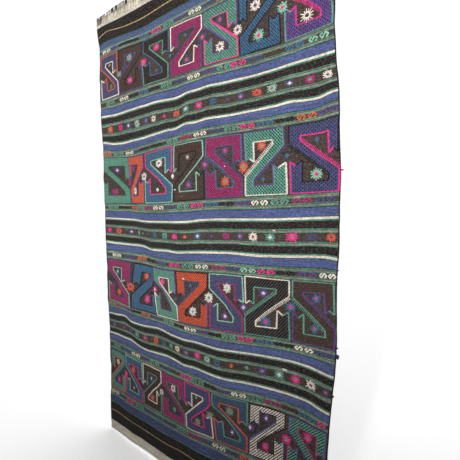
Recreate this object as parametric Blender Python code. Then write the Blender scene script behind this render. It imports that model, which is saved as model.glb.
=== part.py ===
"""A flat-woven kilim rug, hanging down from its top edge.

Two pieces make it: the woven panel, one cloth from selvedge to selvedge, and the warp ends,
left standing as a fringe above its top edge. The panel hangs nearly flat, with one main fold
that runs down from its top left corner and fades before the foot.

Metres, +Z up. The origin is the middle of the panel's top edge. The face looks along -Y and
the back along +Y.
"""
from collections import namedtuple

import bmesh
import bpy
import numpy as np

# Sizes of the cloth
CLOTH_WIDTH = 1.85
CLOTH_LENGTH = 3.09
CLOTH_THICKNESS = 0.003
HALF_WIDTH = CLOTH_WIDTH / 2

# How finely the solid follows the folds
CELLS_ACROSS = 36
CELLS_DOWN = 52
STEPS_PER_CELL = 8

# A soft rise: nothing as far as `start`, then it grows to the full over `length`. What grows
# to the left or upwards is measured with the sign turned, so its start may be negative.
Rise = namedtuple("Rise", "start length")

# Where the right edge hangs, and how far in it is at the top and at the foot
RIGHT_EDGE = 0.945
RIGHT_EDGE_IN_AT_TOP = 0.025
IN_AT_TOP_UPWARDS = Rise(-1.03, 0.55)
RIGHT_EDGE_IN_AT_FOOT = 0.042
IN_AT_FOOT_DOWNWARDS = Rise(1.75, 1.00)

# How the weave widens in the middle and draws in towards the foot, as shares of its width
WIDER_AT_MIDDLE = 0.010
WIDEST_DOWN = 1.30
WIDER_REACH = 0.45
DRAWN_IN_AT_FOOT = 0.030
DRAWN_IN_DOWNWARDS = Rise(1.95, 0.75)

# The side edges and the foot are a little uneven: a height, and radians to the metre
SIDE_EDGE_WAVE = 0.003
SIDE_WAVE_TURN = 15.0
NEAR_SIDE_POWER = 8
FOOT_EDGE_WAVE = 0.004
FOOT_WAVE_TURN = 5.3
FOOT_WAVE_PHASE = 0.6
FOOT_WAVE_DOWNWARDS = Rise(2.80, 0.25)

# The folds. Each has a crease line, from `at` to `ends_at` across, that shifts between two
# distances down; a start, a full stretch and a fade, down; the share that it keeps after the
# fade; how far it reaches left and right of the crease; and how far back it goes (forward if
# the number is negative).
Fold = namedtuple("Fold", "at ends_at shifts_from shifts_to starts full fades gone keeps left right back")
FOLDS = (
    # the main fold, from the top left corner down to the right
    Fold(-0.67, -0.41, 1.33, 2.03, 0.43, 1.13, 1.63, 2.13, 0.25, 0.20, 0.19, 0.063),
    # a shallow dip under the top edge
    Fold(-0.42, -0.42, 0.00, 1.00, 0.02, 0.12, 0.18, 0.45, 0.00, 0.17, 0.22, 0.016),
    # two soft waves in the lower half
    Fold(0.68, 0.72, 1.90, 2.60, 1.70, 2.20, 9.00, 9.10, 1.00, 0.16, 0.14, 0.014),
    Fold(0.20, 0.20, 1.90, 2.60, 1.50, 2.10, 9.00, 9.10, 1.00, 0.30, 0.30, -0.012),
)

# The left edge leans back, a little under the top edge and more lower down
LEFT_EDGE_BACK = 0.052
BACK_TO_THE_LEFT = Rise(0.30, 0.60)
BACK_DOWNWARDS = Rise(0.90, 1.50)
LEFT_EDGE_BACK_AT_TOP = 0.012
TOP_BACK_TO_THE_LEFT = Rise(0.60, 0.32)
TOP_BACK_DOWNWARDS = Rise(0.0, 0.30)

# The lower right edge comes forward
RIGHT_EDGE_FORWARD = 0.030
FORWARD_TO_THE_RIGHT = Rise(0.62, 0.30)
FORWARD_DOWNWARDS = Rise(1.80, 1.00)

# The top left corner curls forward and droops
CORNER_CURL = 0.012
CURL_TO_THE_LEFT = Rise(0.82, 0.105)
CURL_UPWARDS = Rise(-0.20, 0.20)
CORNER_DROOP = 0.008
DROOP_TO_THE_LEFT = Rise(0.85, 0.075)
DROOP_UPWARDS = Rise(-0.35, 0.35)

# The fringe
FRINGE_STRANDS = 220
FRINGE_HEIGHT = 0.076
BACKING_HEIGHT = 0.005
SEAM_GAP = 0.0004
STRAND_FILL_AT_ROOT = 0.68
STRAND_FILL_AT_TIP = 0.40
STRAND_HEIGHT_SPREAD = 0.006
STRAND_LEAN_SPREAD = 0.0015
TIP_DEPTH_SHARE = 0.7
SHORTER_AT_LEFT_END = 0.022
SHORTER_TO_THE_LEFT = Rise(0.80, 0.12)

# Colours and finish of the two pieces
PANEL_COLOUR = (0.085, 0.080, 0.130, 1.0)
FRINGE_COLOUR = (0.78, 0.71, 0.60, 1.0)
WOOL_ROUGHNESS = 0.9


def swell(t):
    """Rise softly from 0 to 1 while t goes from 0 to 1."""
    t = np.clip(t, 0.0, 1.0)
    return t * t * (3.0 - 2.0 * t)


def grown(place, rise):
    """How far a soft rise has grown at a place, from 0 to 1."""
    return swell((place - rise.start) / rise.length)


def setback(across, down):
    """Distance of the cloth behind the hanging plane, at places measured on the cloth."""
    depth = np.zeros(np.broadcast(across, down).shape)
    for fold in FOLDS:
        shift = swell((down - fold.shifts_from) / (fold.shifts_to - fold.shifts_from))
        crease = fold.at + (fold.ends_at - fold.at) * shift
        strength = swell((down - fold.starts) / (fold.full - fold.starts))
        fade = swell((down - fold.fades) / (fold.gone - fold.fades))
        strength = strength * (1.0 - (1.0 - fold.keeps) * fade)
        off = across - crease
        reach = np.where(off < 0.0, fold.left, fold.right)
        depth = depth + fold.back * strength * np.exp(-((off / reach) ** 2))
    left = grown(-across, BACK_TO_THE_LEFT)
    far_left = grown(-across, TOP_BACK_TO_THE_LEFT)
    far_right = grown(across, FORWARD_TO_THE_RIGHT)
    corner = grown(-across, CURL_TO_THE_LEFT) * grown(-down, CURL_UPWARDS)
    depth = depth + LEFT_EDGE_BACK * grown(down, BACK_DOWNWARDS) * left
    depth = depth + LEFT_EDGE_BACK_AT_TOP * grown(down, TOP_BACK_DOWNWARDS) * far_left
    depth = depth - RIGHT_EDGE_FORWARD * grown(down, FORWARD_DOWNWARDS) * far_right
    return depth - CORNER_CURL * corner


def drop(across, down):
    """Height of the cloth, which sags at its top left corner and is uneven along its foot."""
    sag = CORNER_DROOP * grown(-across, DROOP_TO_THE_LEFT) * grown(-down, DROOP_UPWARDS)
    ripple = np.sin(across * FOOT_WAVE_TURN + FOOT_WAVE_PHASE)
    return -down - sag - FOOT_EDGE_WAVE * ripple * grown(down, FOOT_WAVE_DOWNWARDS)


def width_share(down):
    """How wide the weave is at a distance down, as a share of the nominal width."""
    middle = WIDER_AT_MIDDLE * np.exp(-(((down - WIDEST_DOWN) / WIDER_REACH) ** 2))
    return 1.0 + middle - DRAWN_IN_AT_FOOT * grown(down, DRAWN_IN_DOWNWARDS)


def right_edge(down):
    """Where the right edge hangs."""
    at_top = RIGHT_EDGE_IN_AT_TOP * grown(-down, IN_AT_TOP_UPWARDS)
    at_foot = RIGHT_EDGE_IN_AT_FOOT * grown(down, IN_AT_FOOT_DOWNWARDS)
    return RIGHT_EDGE - at_top - at_foot


def hang_row(down):
    """One weft row of the cloth, as hung: an array of (x, y, z), one for each column.

    The cloth keeps its length across: where it runs into a fold it covers less width.
    """
    steps = CELLS_ACROSS * STEPS_PER_CELL
    across = np.linspace(-HALF_WIDTH, HALF_WIDTH, steps + 1)
    depth = setback(across, down)
    cloth_step = CLOTH_WIDTH / steps * width_share(down)
    step_across = np.sqrt(np.maximum(cloth_step ** 2 - np.diff(depth) ** 2, 0.0))
    x = np.concatenate([[0.0], np.cumsum(step_across)])
    x = x - x[-1] + right_edge(down)
    near_side = (across / HALF_WIDTH) ** NEAR_SIDE_POWER
    x = x + SIDE_EDGE_WAVE * near_side * np.sin(down * SIDE_WAVE_TURN + np.sign(across))
    row = np.stack([x, depth, drop(across, down)], axis=-1)
    return row[::STEPS_PER_CELL]


def hang_cloth():
    """The middle surface of the panel, as a grid of points."""
    rows = [hang_row(down) for down in np.linspace(0.0, CLOTH_LENGTH, CELLS_DOWN + 1)]
    return np.array(rows)


def surface_normals(grid):
    """Unit normals of a grid of points, pointing to the face side (-Y)."""
    across = np.gradient(grid, axis=1)
    down = np.gradient(grid, axis=0)
    normals = np.cross(down, across)
    normals = normals / np.linalg.norm(normals, axis=-1, keepdims=True)
    return np.where(normals[..., 1:2] > 0.0, -normals, normals)


def make_material(name, colour):
    """A plain wool finish."""
    material = bpy.data.materials.new(name)
    material.use_nodes = True
    shader = material.node_tree.nodes["Principled BSDF"]
    shader.inputs["Base Color"].default_value = colour
    shader.inputs["Roughness"].default_value = WOOL_ROUGHNESS
    shader.inputs["Metallic"].default_value = 0.0
    return material


def add_object(name, mesh_builder, material):
    """Turn a bmesh into a named object, its faces pointing out."""
    bmesh.ops.recalc_face_normals(mesh_builder, faces=mesh_builder.faces)
    mesh = bpy.data.meshes.new(name)
    mesh_builder.to_mesh(mesh)
    mesh_builder.free()
    mesh.materials.append(material)
    piece = bpy.data.objects.new(name, mesh)
    bpy.context.scene.collection.objects.link(piece)
    return piece


def make_panel():
    """The woven panel: a closed sheet of even thickness on the hung surface."""
    middle = hang_cloth()
    normals = surface_normals(middle)
    offset = normals * (CLOTH_THICKNESS / 2)
    # The top edge stays level and upright, so that the fringe can stand on it
    offset[0] = (0.0, -CLOTH_THICKNESS / 2, 0.0)
    builder = bmesh.new()
    front = [[builder.verts.new(point) for point in row] for row in middle + offset]
    back = [[builder.verts.new(point) for point in row] for row in middle - offset]
    for i in range(CELLS_DOWN):
        for j in range(CELLS_ACROSS):
            for side in (front, back):
                a, b = side[i][j], side[i][j + 1]
                c, d = side[i + 1][j + 1], side[i + 1][j]
                # Each cell is cut along its shorter diagonal, so that both halves stay flat
                if (a.co - c.co).length < (b.co - d.co).length:
                    builder.faces.new((a, b, c))
                    builder.faces.new((a, c, d))
                else:
                    builder.faces.new((a, b, d))
                    builder.faces.new((b, c, d))
    rim = [(0, j) for j in range(CELLS_ACROSS)]
    rim += [(i, CELLS_ACROSS) for i in range(CELLS_DOWN)]
    rim += [(CELLS_DOWN, j) for j in range(CELLS_ACROSS, 0, -1)]
    rim += [(i, 0) for i in range(CELLS_DOWN, 0, -1)]
    for here, following in zip(rim, rim[1:] + rim[:1]):
        corner = front[here[0]][here[1]]
        next_corner = front[following[0]][following[1]]
        next_back = back[following[0]][following[1]]
        back_corner = back[here[0]][here[1]]
        builder.faces.new((corner, next_corner, next_back, back_corner))
    bmesh.ops.triangulate(builder, faces=[face for face in builder.faces if len(face.verts) > 3])
    return add_object("woven_panel", builder, make_material("panel_wool", PANEL_COLOUR))


def make_fringe():
    """The standing warp ends: a narrow backing along the top edge with strands fused to it."""
    top_edge = hang_row(0.0)
    columns = np.linspace(-HALF_WIDTH, HALF_WIDTH, CELLS_ACROSS + 1)
    random = np.random.default_rng(7)
    pitch = CLOTH_WIDTH / FRINGE_STRANDS

    def on_edge(across, up, side):
        """A point above the top edge, on the face side (-1) or the back (+1)."""
        x, y, z = (np.interp(across, columns, top_edge[:, k]) for k in range(3))
        return (x, y + side * CLOTH_THICKNESS / 2, z + up)

    builder = bmesh.new()

    def column(across):
        """Four points of the backing: face bottom, face top, back top, back bottom."""
        corners = ((SEAM_GAP, -1), (BACKING_HEIGHT, -1), (BACKING_HEIGHT, 1), (SEAM_GAP, 1))
        return [builder.verts.new(on_edge(across, up, side)) for up, side in corners]

    def wall(first, second, roofed):
        """The faces of the backing between two columns."""
        builder.faces.new((first[0], first[1], second[1], second[0]))
        builder.faces.new((second[3], second[2], first[2], first[3]))
        builder.faces.new((first[3], first[0], second[0], second[3]))
        if roofed:
            builder.faces.new((first[1], first[2], second[2], second[1]))

    last = column(-HALF_WIDTH)
    builder.faces.new(last[::-1])
    for strand in range(FRINGE_STRANDS):
        middle = -HALF_WIDTH + (strand + 0.5) * pitch
        half_root = pitch * STRAND_FILL_AT_ROOT / 2
        half_tip = pitch * STRAND_FILL_AT_TIP / 2
        height = FRINGE_HEIGHT + random.uniform(-1.0, 1.0) * STRAND_HEIGHT_SPREAD
        height = height - SHORTER_AT_LEFT_END * grown(-middle, SHORTER_TO_THE_LEFT)
        lean = random.uniform(-1.0, 1.0) * STRAND_LEAN_SPREAD
        left, right = column(middle - half_root), column(middle + half_root)
        wall(last, left, True)
        wall(left, right, False)
        root = [left[1], right[1], right[2], left[2]]
        ends = ((-half_tip, -1), (half_tip, -1), (half_tip, 1), (-half_tip, 1))
        tip = []
        for offset, side in ends:
            x, y, z = on_edge(middle, height, side * TIP_DEPTH_SHARE)
            tip.append(builder.verts.new((x + lean + offset, y, z)))
        for k in range(4):
            following = (k + 1) % 4
            builder.faces.new((root[k], root[following], tip[following], tip[k]))
        builder.faces.new(tip)
        last = right
    end = column(HALF_WIDTH)
    wall(last, end, True)
    builder.faces.new(end)
    bmesh.ops.triangulate(builder, faces=builder.faces[:])
    return add_object("top_fringe", builder, make_material("fringe_wool", FRINGE_COLOUR))


def main():
    for old in list(bpy.data.objects):
        bpy.data.objects.remove(old, do_unlink=True)
    make_panel()
    make_fringe()


main()
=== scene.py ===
# %% [markdown]
# # A hanging kilim, in cells
#
# A kilim is a flat-woven wool rug. Its stripes are the weft, beaten down until it hides the
# warp, and its hooked figures are laid in with extra yarn while the cloth is on the loom. This
# one hangs from its top edge. The lesson dresses two plain solids, a thin sheet in the shape
# in which the cloth hangs and a fringe of warp ends, with the real thing's yarns.
#
# One could paint the pattern on the sheet. Here the yarns are laid as geometry, because the
# figures stand proud of the cloth by a millimetre or two, and that relief is what makes wool
# look like wool when the light rakes across it.

import math
from collections import namedtuple

import bpy
import numpy as np
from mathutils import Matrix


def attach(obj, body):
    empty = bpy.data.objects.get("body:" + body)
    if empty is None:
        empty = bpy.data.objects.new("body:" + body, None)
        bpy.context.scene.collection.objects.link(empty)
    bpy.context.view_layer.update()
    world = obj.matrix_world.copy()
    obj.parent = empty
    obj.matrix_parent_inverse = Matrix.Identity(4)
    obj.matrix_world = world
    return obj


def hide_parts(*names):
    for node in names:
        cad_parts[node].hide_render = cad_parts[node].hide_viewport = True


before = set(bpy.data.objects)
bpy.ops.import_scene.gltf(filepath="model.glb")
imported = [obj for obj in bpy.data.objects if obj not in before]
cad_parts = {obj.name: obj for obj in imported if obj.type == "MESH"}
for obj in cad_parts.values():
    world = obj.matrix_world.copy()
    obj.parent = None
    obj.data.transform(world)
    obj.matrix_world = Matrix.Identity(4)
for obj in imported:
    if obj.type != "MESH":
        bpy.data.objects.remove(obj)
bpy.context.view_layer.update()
print("solids:", sorted(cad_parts))

# %% [markdown]
# ## The view
#
# The rug is seen from its right, at eye height, close enough for strong perspective. A lens
# could be set in millimetres by trial. This one was worked out from where the stripes would
# meet if they were drawn on, so the cloth's near edge fills the picture and its far edge
# shrinks to half.

# %% Camera
CAMERA_PLACE = (1.533, -1.612, -1.51)
CAMERA_TURN = 36.87
CAMERA_TILT = -0.9
FOCAL_LENGTH = 28.17
SENSOR_WIDTH = 36.0

lens = bpy.data.cameras.new("view")
lens.lens = FOCAL_LENGTH
lens.sensor_width = SENSOR_WIDTH
camera = bpy.data.objects.new("view", lens)
camera.location = CAMERA_PLACE
camera.rotation_euler = (math.radians(90 + CAMERA_TILT), 0.0, math.radians(CAMERA_TURN))
bpy.context.scene.collection.objects.link(camera)
bpy.context.scene.camera = camera
print("camera", round(math.dist(CAMERA_PLACE, (0, 0, CAMERA_PLACE[2])), 2), "m from the cloth's middle")

# %% [markdown]
# ## The hung shape
#
# Cloth that hangs from one edge falls nearly flat, with a few soft folds where its weight
# pulls unevenly. Here one main fold runs down from the top left corner, the left edge leans
# back lower down, and the lower right edge comes forward. A simulation could make such folds,
# but not these folds, so each is a soft hollow with a place, a reach and a depth. The numbers
# are those of the solid, so the dressed cloth lies on it.
#
# A Rise is where something begins to grow, and the length over which it grows to the full.
# What grows to the left or upwards is measured with the sign turned, so it may begin below 0.

# %% The numbers of the folds
CLOTH_WIDTH = 1.85
CLOTH_LENGTH = 3.09
CLOTH_THICKNESS = 0.003
HALF_WIDTH = CLOTH_WIDTH / 2

Rise = namedtuple("Rise", "start length")
RIGHT_EDGE = 0.945
RIGHT_EDGE_IN_AT_TOP = 0.025
IN_AT_TOP_UPWARDS = Rise(-1.03, 0.55)
RIGHT_EDGE_IN_AT_FOOT = 0.042
IN_AT_FOOT_DOWNWARDS = Rise(1.75, 1.00)
WIDER_AT_MIDDLE = 0.010
WIDEST_DOWN = 1.30
WIDER_REACH = 0.45
DRAWN_IN_AT_FOOT = 0.030
DRAWN_IN_DOWNWARDS = Rise(1.95, 0.75)
SIDE_EDGE_WAVE = 0.003
SIDE_WAVE_TURN = 15.0
NEAR_SIDE_POWER = 8
FOOT_EDGE_WAVE = 0.004
FOOT_WAVE_TURN = 5.3
FOOT_WAVE_PHASE = 0.6
FOOT_WAVE_DOWNWARDS = Rise(2.80, 0.25)

Fold = namedtuple("Fold", "at ends_at shifts_from shifts_to starts full fades gone keeps left right back")
FOLDS = (
    Fold(-0.67, -0.41, 1.33, 2.03, 0.43, 1.13, 1.63, 2.13, 0.25, 0.20, 0.19, 0.063),
    Fold(-0.42, -0.42, 0.00, 1.00, 0.02, 0.12, 0.18, 0.45, 0.00, 0.17, 0.22, 0.016),
    Fold(0.68, 0.72, 1.90, 2.60, 1.70, 2.20, 9.00, 9.10, 1.00, 0.16, 0.14, 0.014),
    Fold(0.20, 0.20, 1.90, 2.60, 1.50, 2.10, 9.00, 9.10, 1.00, 0.30, 0.30, -0.012),
)
LEFT_EDGE_BACK = 0.052
BACK_TO_THE_LEFT = Rise(0.30, 0.60)
BACK_DOWNWARDS = Rise(0.90, 1.50)
LEFT_EDGE_BACK_AT_TOP = 0.012
TOP_BACK_TO_THE_LEFT = Rise(0.60, 0.32)
TOP_BACK_DOWNWARDS = Rise(0.0, 0.30)
RIGHT_EDGE_FORWARD = 0.030
FORWARD_TO_THE_RIGHT = Rise(0.62, 0.30)
FORWARD_DOWNWARDS = Rise(1.80, 1.00)
CORNER_CURL = 0.012
CURL_TO_THE_LEFT = Rise(0.82, 0.105)
CURL_UPWARDS = Rise(-0.20, 0.20)
CORNER_DROOP = 0.008
DROOP_TO_THE_LEFT = Rise(0.85, 0.075)
DROOP_UPWARDS = Rise(-0.35, 0.35)
print(len(FOLDS), "folds; the deepest goes back", max(fold.back for fold in FOLDS), "m")

# %% [markdown]
# ## From numbers to a surface
#
# Small functions turn these numbers into a surface: how far back the cloth stands, how high a
# place on it is, how wide the weave is there and where its right edge hangs. Everything grows
# along one soft step, swell, because a straight ramp would leave a hard line in the cloth.

# %% The folds
def swell(t):
    """Rise softly from 0 to 1 while t goes from 0 to 1."""
    t = np.clip(t, 0.0, 1.0)
    return t * t * (3.0 - 2.0 * t)


def grown(place, rise):
    """How far a soft rise has grown at a place, from 0 to 1."""
    return swell((place - rise.start) / rise.length)


def setback(across, down):
    """Distance of the cloth behind the hanging plane, at places measured on the cloth."""
    depth = np.zeros(np.broadcast(across, down).shape)
    for fold in FOLDS:
        shift = swell((down - fold.shifts_from) / (fold.shifts_to - fold.shifts_from))
        crease = fold.at + (fold.ends_at - fold.at) * shift
        strength = swell((down - fold.starts) / (fold.full - fold.starts))
        fade = swell((down - fold.fades) / (fold.gone - fold.fades))
        strength = strength * (1.0 - (1.0 - fold.keeps) * fade)
        off = across - crease
        reach = np.where(off < 0.0, fold.left, fold.right)
        depth = depth + fold.back * strength * np.exp(-((off / reach) ** 2))
    left = grown(-across, BACK_TO_THE_LEFT)
    far_left = grown(-across, TOP_BACK_TO_THE_LEFT)
    far_right = grown(across, FORWARD_TO_THE_RIGHT)
    corner = grown(-across, CURL_TO_THE_LEFT) * grown(-down, CURL_UPWARDS)
    depth = depth + LEFT_EDGE_BACK * grown(down, BACK_DOWNWARDS) * left
    depth = depth + LEFT_EDGE_BACK_AT_TOP * grown(down, TOP_BACK_DOWNWARDS) * far_left
    depth = depth - RIGHT_EDGE_FORWARD * grown(down, FORWARD_DOWNWARDS) * far_right
    return depth - CORNER_CURL * corner


def drop(across, down):
    """Height of the cloth, which sags at its top left corner and is uneven along its foot."""
    sag = CORNER_DROOP * grown(-across, DROOP_TO_THE_LEFT) * grown(-down, DROOP_UPWARDS)
    ripple = np.sin(across * FOOT_WAVE_TURN + FOOT_WAVE_PHASE)
    return -down - sag - FOOT_EDGE_WAVE * ripple * grown(down, FOOT_WAVE_DOWNWARDS)


def width_share(down):
    """How wide the weave is at a distance down, as a share of the nominal width."""
    middle = WIDER_AT_MIDDLE * np.exp(-(((down - WIDEST_DOWN) / WIDER_REACH) ** 2))
    return 1.0 + middle - DRAWN_IN_AT_FOOT * grown(down, DRAWN_IN_DOWNWARDS)


def right_edge(down):
    """Where the right edge hangs."""
    at_top = RIGHT_EDGE_IN_AT_TOP * grown(-down, IN_AT_TOP_UPWARDS)
    at_foot = RIGHT_EDGE_IN_AT_FOOT * grown(down, IN_AT_FOOT_DOWNWARDS)
    return RIGHT_EDGE - at_top - at_foot


print("halfway down, the right edge hangs at", round(float(right_edge(CLOTH_LENGTH / 2)), 3), "m")

# %% [markdown]
# ## Creases and cockles
#
# A rug that was stored folded keeps the line of the fold, and bands woven at different
# tensions cockle a little between each other. These are too small for the solid. They are
# added on top of it as a relief of a few millimetres: four soft lines, and a faint ripple
# from a few sine waves that don't keep step. The right selvedge is drawn in and let out by a
# few millimetres as well, where the weaver pulled the weft tighter or less tight. Its notes
# come from where the edge lies in the photograph and in a render, measured and then rounded.

# %% Small relief
Crease = namedtuple("Crease", "across lean starts ends reach height")
CREASES = (
    Crease(-0.06, 0.010, 0.60, 1.42, 0.022, -0.0035),
    Crease(0.225, -0.005, 1.36, 2.45, 0.012, 0.0022),
    Crease(0.62, 0.020, 0.90, 2.30, 0.030, 0.0018),
    Crease(-0.47, -0.030, 0.60, 2.10, 0.030, 0.0020),
)
CREASE_FADE = 0.15
COCKLE = 0.0011
COCKLES_ACROSS, COCKLES_DOWN, COCKLE_PHASE = 31, 23, 1.3
COCKLE_SWAY, SWAYS_DOWN = 2.0, 9
SLANTED_SHARE, SLANTED_ACROSS, SLANTED_DOWN, SLANTED_PHASE = 0.7, 13, 17, 0.5
EDGE_COCKLE = 0.0012
EDGE_COCKLES_DOWN, EDGE_COCKLES_ACROSS = 41, 2
SHORT_SHARE, SHORT_COCKLES_DOWN = 0.6, 67
EDGE_POWER = 10
FLAT_AT_TOP, FLAT_AT_FOOT = 0.06, 0.03


def relief(across, down):
    """Small height of the face above the fold surface, towards the viewer."""
    height = np.zeros(np.broadcast(across, down).shape)
    for crease in CREASES:
        line = crease.across + crease.lean * (down - crease.starts)
        along = swell((down - crease.starts) / CREASE_FADE) * swell((crease.ends - down) / CREASE_FADE)
        height = height + crease.height * along * np.exp(-(((across - line) / crease.reach) ** 2))
    sway = COCKLE_SWAY * np.sin(down * SWAYS_DOWN)
    ripple = np.sin(across * COCKLES_ACROSS + sway) * np.sin(down * COCKLES_DOWN + COCKLE_PHASE)
    slanted = np.sin(across * SLANTED_ACROSS - down * SLANTED_DOWN + SLANTED_PHASE)
    ripple = ripple + SLANTED_SHARE * slanted
    edge = np.abs(across / HALF_WIDTH) ** EDGE_POWER
    wave = np.sin(down * EDGE_COCKLES_DOWN + across * EDGE_COCKLES_ACROSS)
    wave = wave + SHORT_SHARE * np.sin(down * SHORT_COCKLES_DOWN)
    fade = swell(down / FLAT_AT_TOP) * swell((CLOTH_LENGTH - down) / FLAT_AT_FOOT)
    return (height + COCKLE * ripple + EDGE_COCKLE * edge * wave) * fade


SELVEDGE_PULL = Rise(0.55, 0.37)
SELVEDGE_NOTES = (
    (0.0, 0), (0.60, 1), (0.67, 3), (0.80, -3), (0.94, 2), (1.08, 6), (1.42, 6), (1.49, 8), (1.56, 6),
    (1.63, 1), (1.70, -5), (1.76, -9), (1.83, -6), (1.97, 2), (2.33, 7), (2.54, -3), (3.09, 0),
)


def selvedge_shift(across, down):
    """How far out the selvedge was let, from notes in metres down and millimetres out."""
    downs, shifts = np.array(SELVEDGE_NOTES).T
    return np.interp(down, downs, shifts) / 1000.0 * grown(across, SELVEDGE_PULL)


print(len(CREASES), "creases; the selvedge was noted at", len(SELVEDGE_NOTES), "places")

# %% [markdown]
# ## A map from the flat cloth to the hung one
#
# Everything woven is easiest to place on the flat cloth: so far across, so far down. The map
# turns such a place into a point in space. The cloth keeps its length across, so where it
# runs into a fold it covers less width. It would be slow to work that out for each stitch,
# so it is done once, on a table with a point every 4 mm, and read between the points.

# %% The map
TABLE_COLUMNS = 463
TABLE_ROWS = 773


def hang_row(down):
    """One weft row of the cloth, as hung: an array of (x, y, z)."""
    across = np.linspace(-HALF_WIDTH, HALF_WIDTH, TABLE_COLUMNS)
    depth = setback(across, down)
    cloth_step = CLOTH_WIDTH / (TABLE_COLUMNS - 1) * width_share(down)
    step_across = np.sqrt(np.maximum(cloth_step ** 2 - np.diff(depth) ** 2, 0.0))
    x = np.concatenate([[0.0], np.cumsum(step_across)])
    x = x - x[-1] + right_edge(down)
    near_side = (across / HALF_WIDTH) ** NEAR_SIDE_POWER
    x = x + SIDE_EDGE_WAVE * near_side * np.sin(down * SIDE_WAVE_TURN + np.sign(across))
    x = x + selvedge_shift(across, down)
    return np.stack([x, depth - relief(across, down), drop(across, down)], axis=-1)


PLACES = np.array([hang_row(down) for down in np.linspace(0.0, CLOTH_LENGTH, TABLE_ROWS)])
FACINGS = np.cross(np.gradient(PLACES, axis=0), np.gradient(PLACES, axis=1))
FACINGS /= np.linalg.norm(FACINGS, axis=-1, keepdims=True)
FACINGS *= -np.sign(FACINGS[..., 1:2])
JUST_OVER_ONE = 1.001


def read_table(table, across, down):
    """Values between the points of a table that covers the whole cloth.

    The last place is a hair before the last point, so that every place has a point after it.
    """
    column = np.clip((across + HALF_WIDTH) / CLOTH_WIDTH, 0.0, 1.0) * (table.shape[1] - JUST_OVER_ONE)
    row = np.clip(down / CLOTH_LENGTH, 0.0, 1.0) * (table.shape[0] - JUST_OVER_ONE)
    i, j = row.astype(int), column.astype(int)
    a, b = (row - i)[..., None], (column - j)[..., None]
    upper = table[i, j] * (1 - b) + table[i, j + 1] * b
    lower = table[i + 1, j] * (1 - b) + table[i + 1, j + 1] * b
    return upper * (1 - a) + lower * a


def on_cloth(across, down, lift=0.0):
    """Points in space for places on the flat cloth, raised off its middle towards the viewer."""
    lifted = read_table(FACINGS, across, down) * np.asarray(lift)[..., None]
    return read_table(PLACES, across, down) + lifted


print("map:", PLACES.shape[:2], "points; deepest fold", round(float(PLACES[..., 1].max()), 3), "m")

# %% [markdown]
# ## Yarns
#
# The wool was dyed in a dozen strong colours, most of them synthetic, on a ground of dark
# brown fleece. They are named here once, as seen on the cloth, and turned into the linear
# light that Blender works in. The lamp and the daylight together are between three and four
# times as strong as plain white light, so each dye is darker than it looks by that share.

# %% Yarn colours
LIGHT_ON_CLOTH = 3.6


def linear(red, green, blue):
    """A screen colour, 0 to 255, in linear light, by the curve that all screens use."""
    share = np.array([red, green, blue]) / 255.0
    light = np.where(share <= 0.04045, share / 12.92, ((share + 0.055) / 1.055) ** 2.4)
    return light / LIGHT_ON_CLOTH


YARN = {
    "black": linear(40, 33, 32),
    "coal": linear(34, 28, 27),
    "grey": linear(92, 88, 84),
    "ground": linear(73, 61, 56),
    "blue": linear(86, 99, 150),
    "steel": linear(78, 97, 134),
    "indigo": linear(74, 85, 129),
    "navy": linear(80, 83, 126),
    "petrol": linear(68, 114, 150),
    "teal": linear(66, 96, 126),
    "green": linear(104, 166, 146),
    "mint": linear(146, 206, 178),
    "leaf": linear(83, 142, 119),
    "moss": linear(62, 100, 86),
    "pink": linear(248, 54, 146),
    "magenta": linear(175, 54, 112),
    "orange": linear(236, 100, 66),
    "purple": linear(104, 78, 142),
    "cream": linear(249, 234, 218),
    "tan": linear(162, 142, 129),
    "gold": linear(182, 158, 104),
    "brown": linear(77, 57, 49),
    "dark": linear(32, 26, 28),
    "undyed": linear(252, 241, 220),
    "oat": linear(215, 207, 190),
}
print(len(YARN), "yarns")

# %% [markdown]
# ## The order of the bands
#
# From the top: a cream web end, black with one gold line, blue, and then four rows of hooked
# figures with a band of stripes and stars between each two. Each such band is the same on
# both sides of its middle. Widths are in centimetres, as a weaver would note them.

# %% Bands
Band = namedtuple("Band", "yarn width role")
LEAF, THIN_LEAF = Band("leaf", 0.6, ""), Band("leaf", 0.5, "")
DARK_LINE = Band("dark", 0.3, "")
BORDER = [Band("leaf", 0.55, ""), Band("dark", 0.2, ""), Band("tan", 0.55, ""), LEAF]


def small_figures(name):
    """A narrow dark band for pairs of small figures, with a border above and below."""
    return BORDER + [Band("ground", 2.2, name)] + BORDER


def cream_line(name):
    """A cream stripe below a thin dull green one and above a broader one of clear green."""
    return [Band("moss", 0.4, ""), Band("cream", 1.05, name), Band("leaf", 0.75, "")]


def star_band(height, above, stars, below):
    """The stripes between two rows of hooked figures, woven to a given height."""
    bands = small_figures(above) + [DARK_LINE, Band("blue", 3.8, "")]
    bands += cream_line("line over " + stars) + [Band("black", 3.6, "")]
    bands += BORDER + [Band("ground", 4.2, stars)] + BORDER
    bands += [Band("black", 3.3, "")] + cream_line("line under " + stars)[::-1]
    bands += [Band("blue", 3.6, ""), DARK_LINE] + small_figures(below)
    scale = height / sum(band.width for band in bands)
    return [band._replace(width=band.width * scale) for band in bands]


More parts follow.
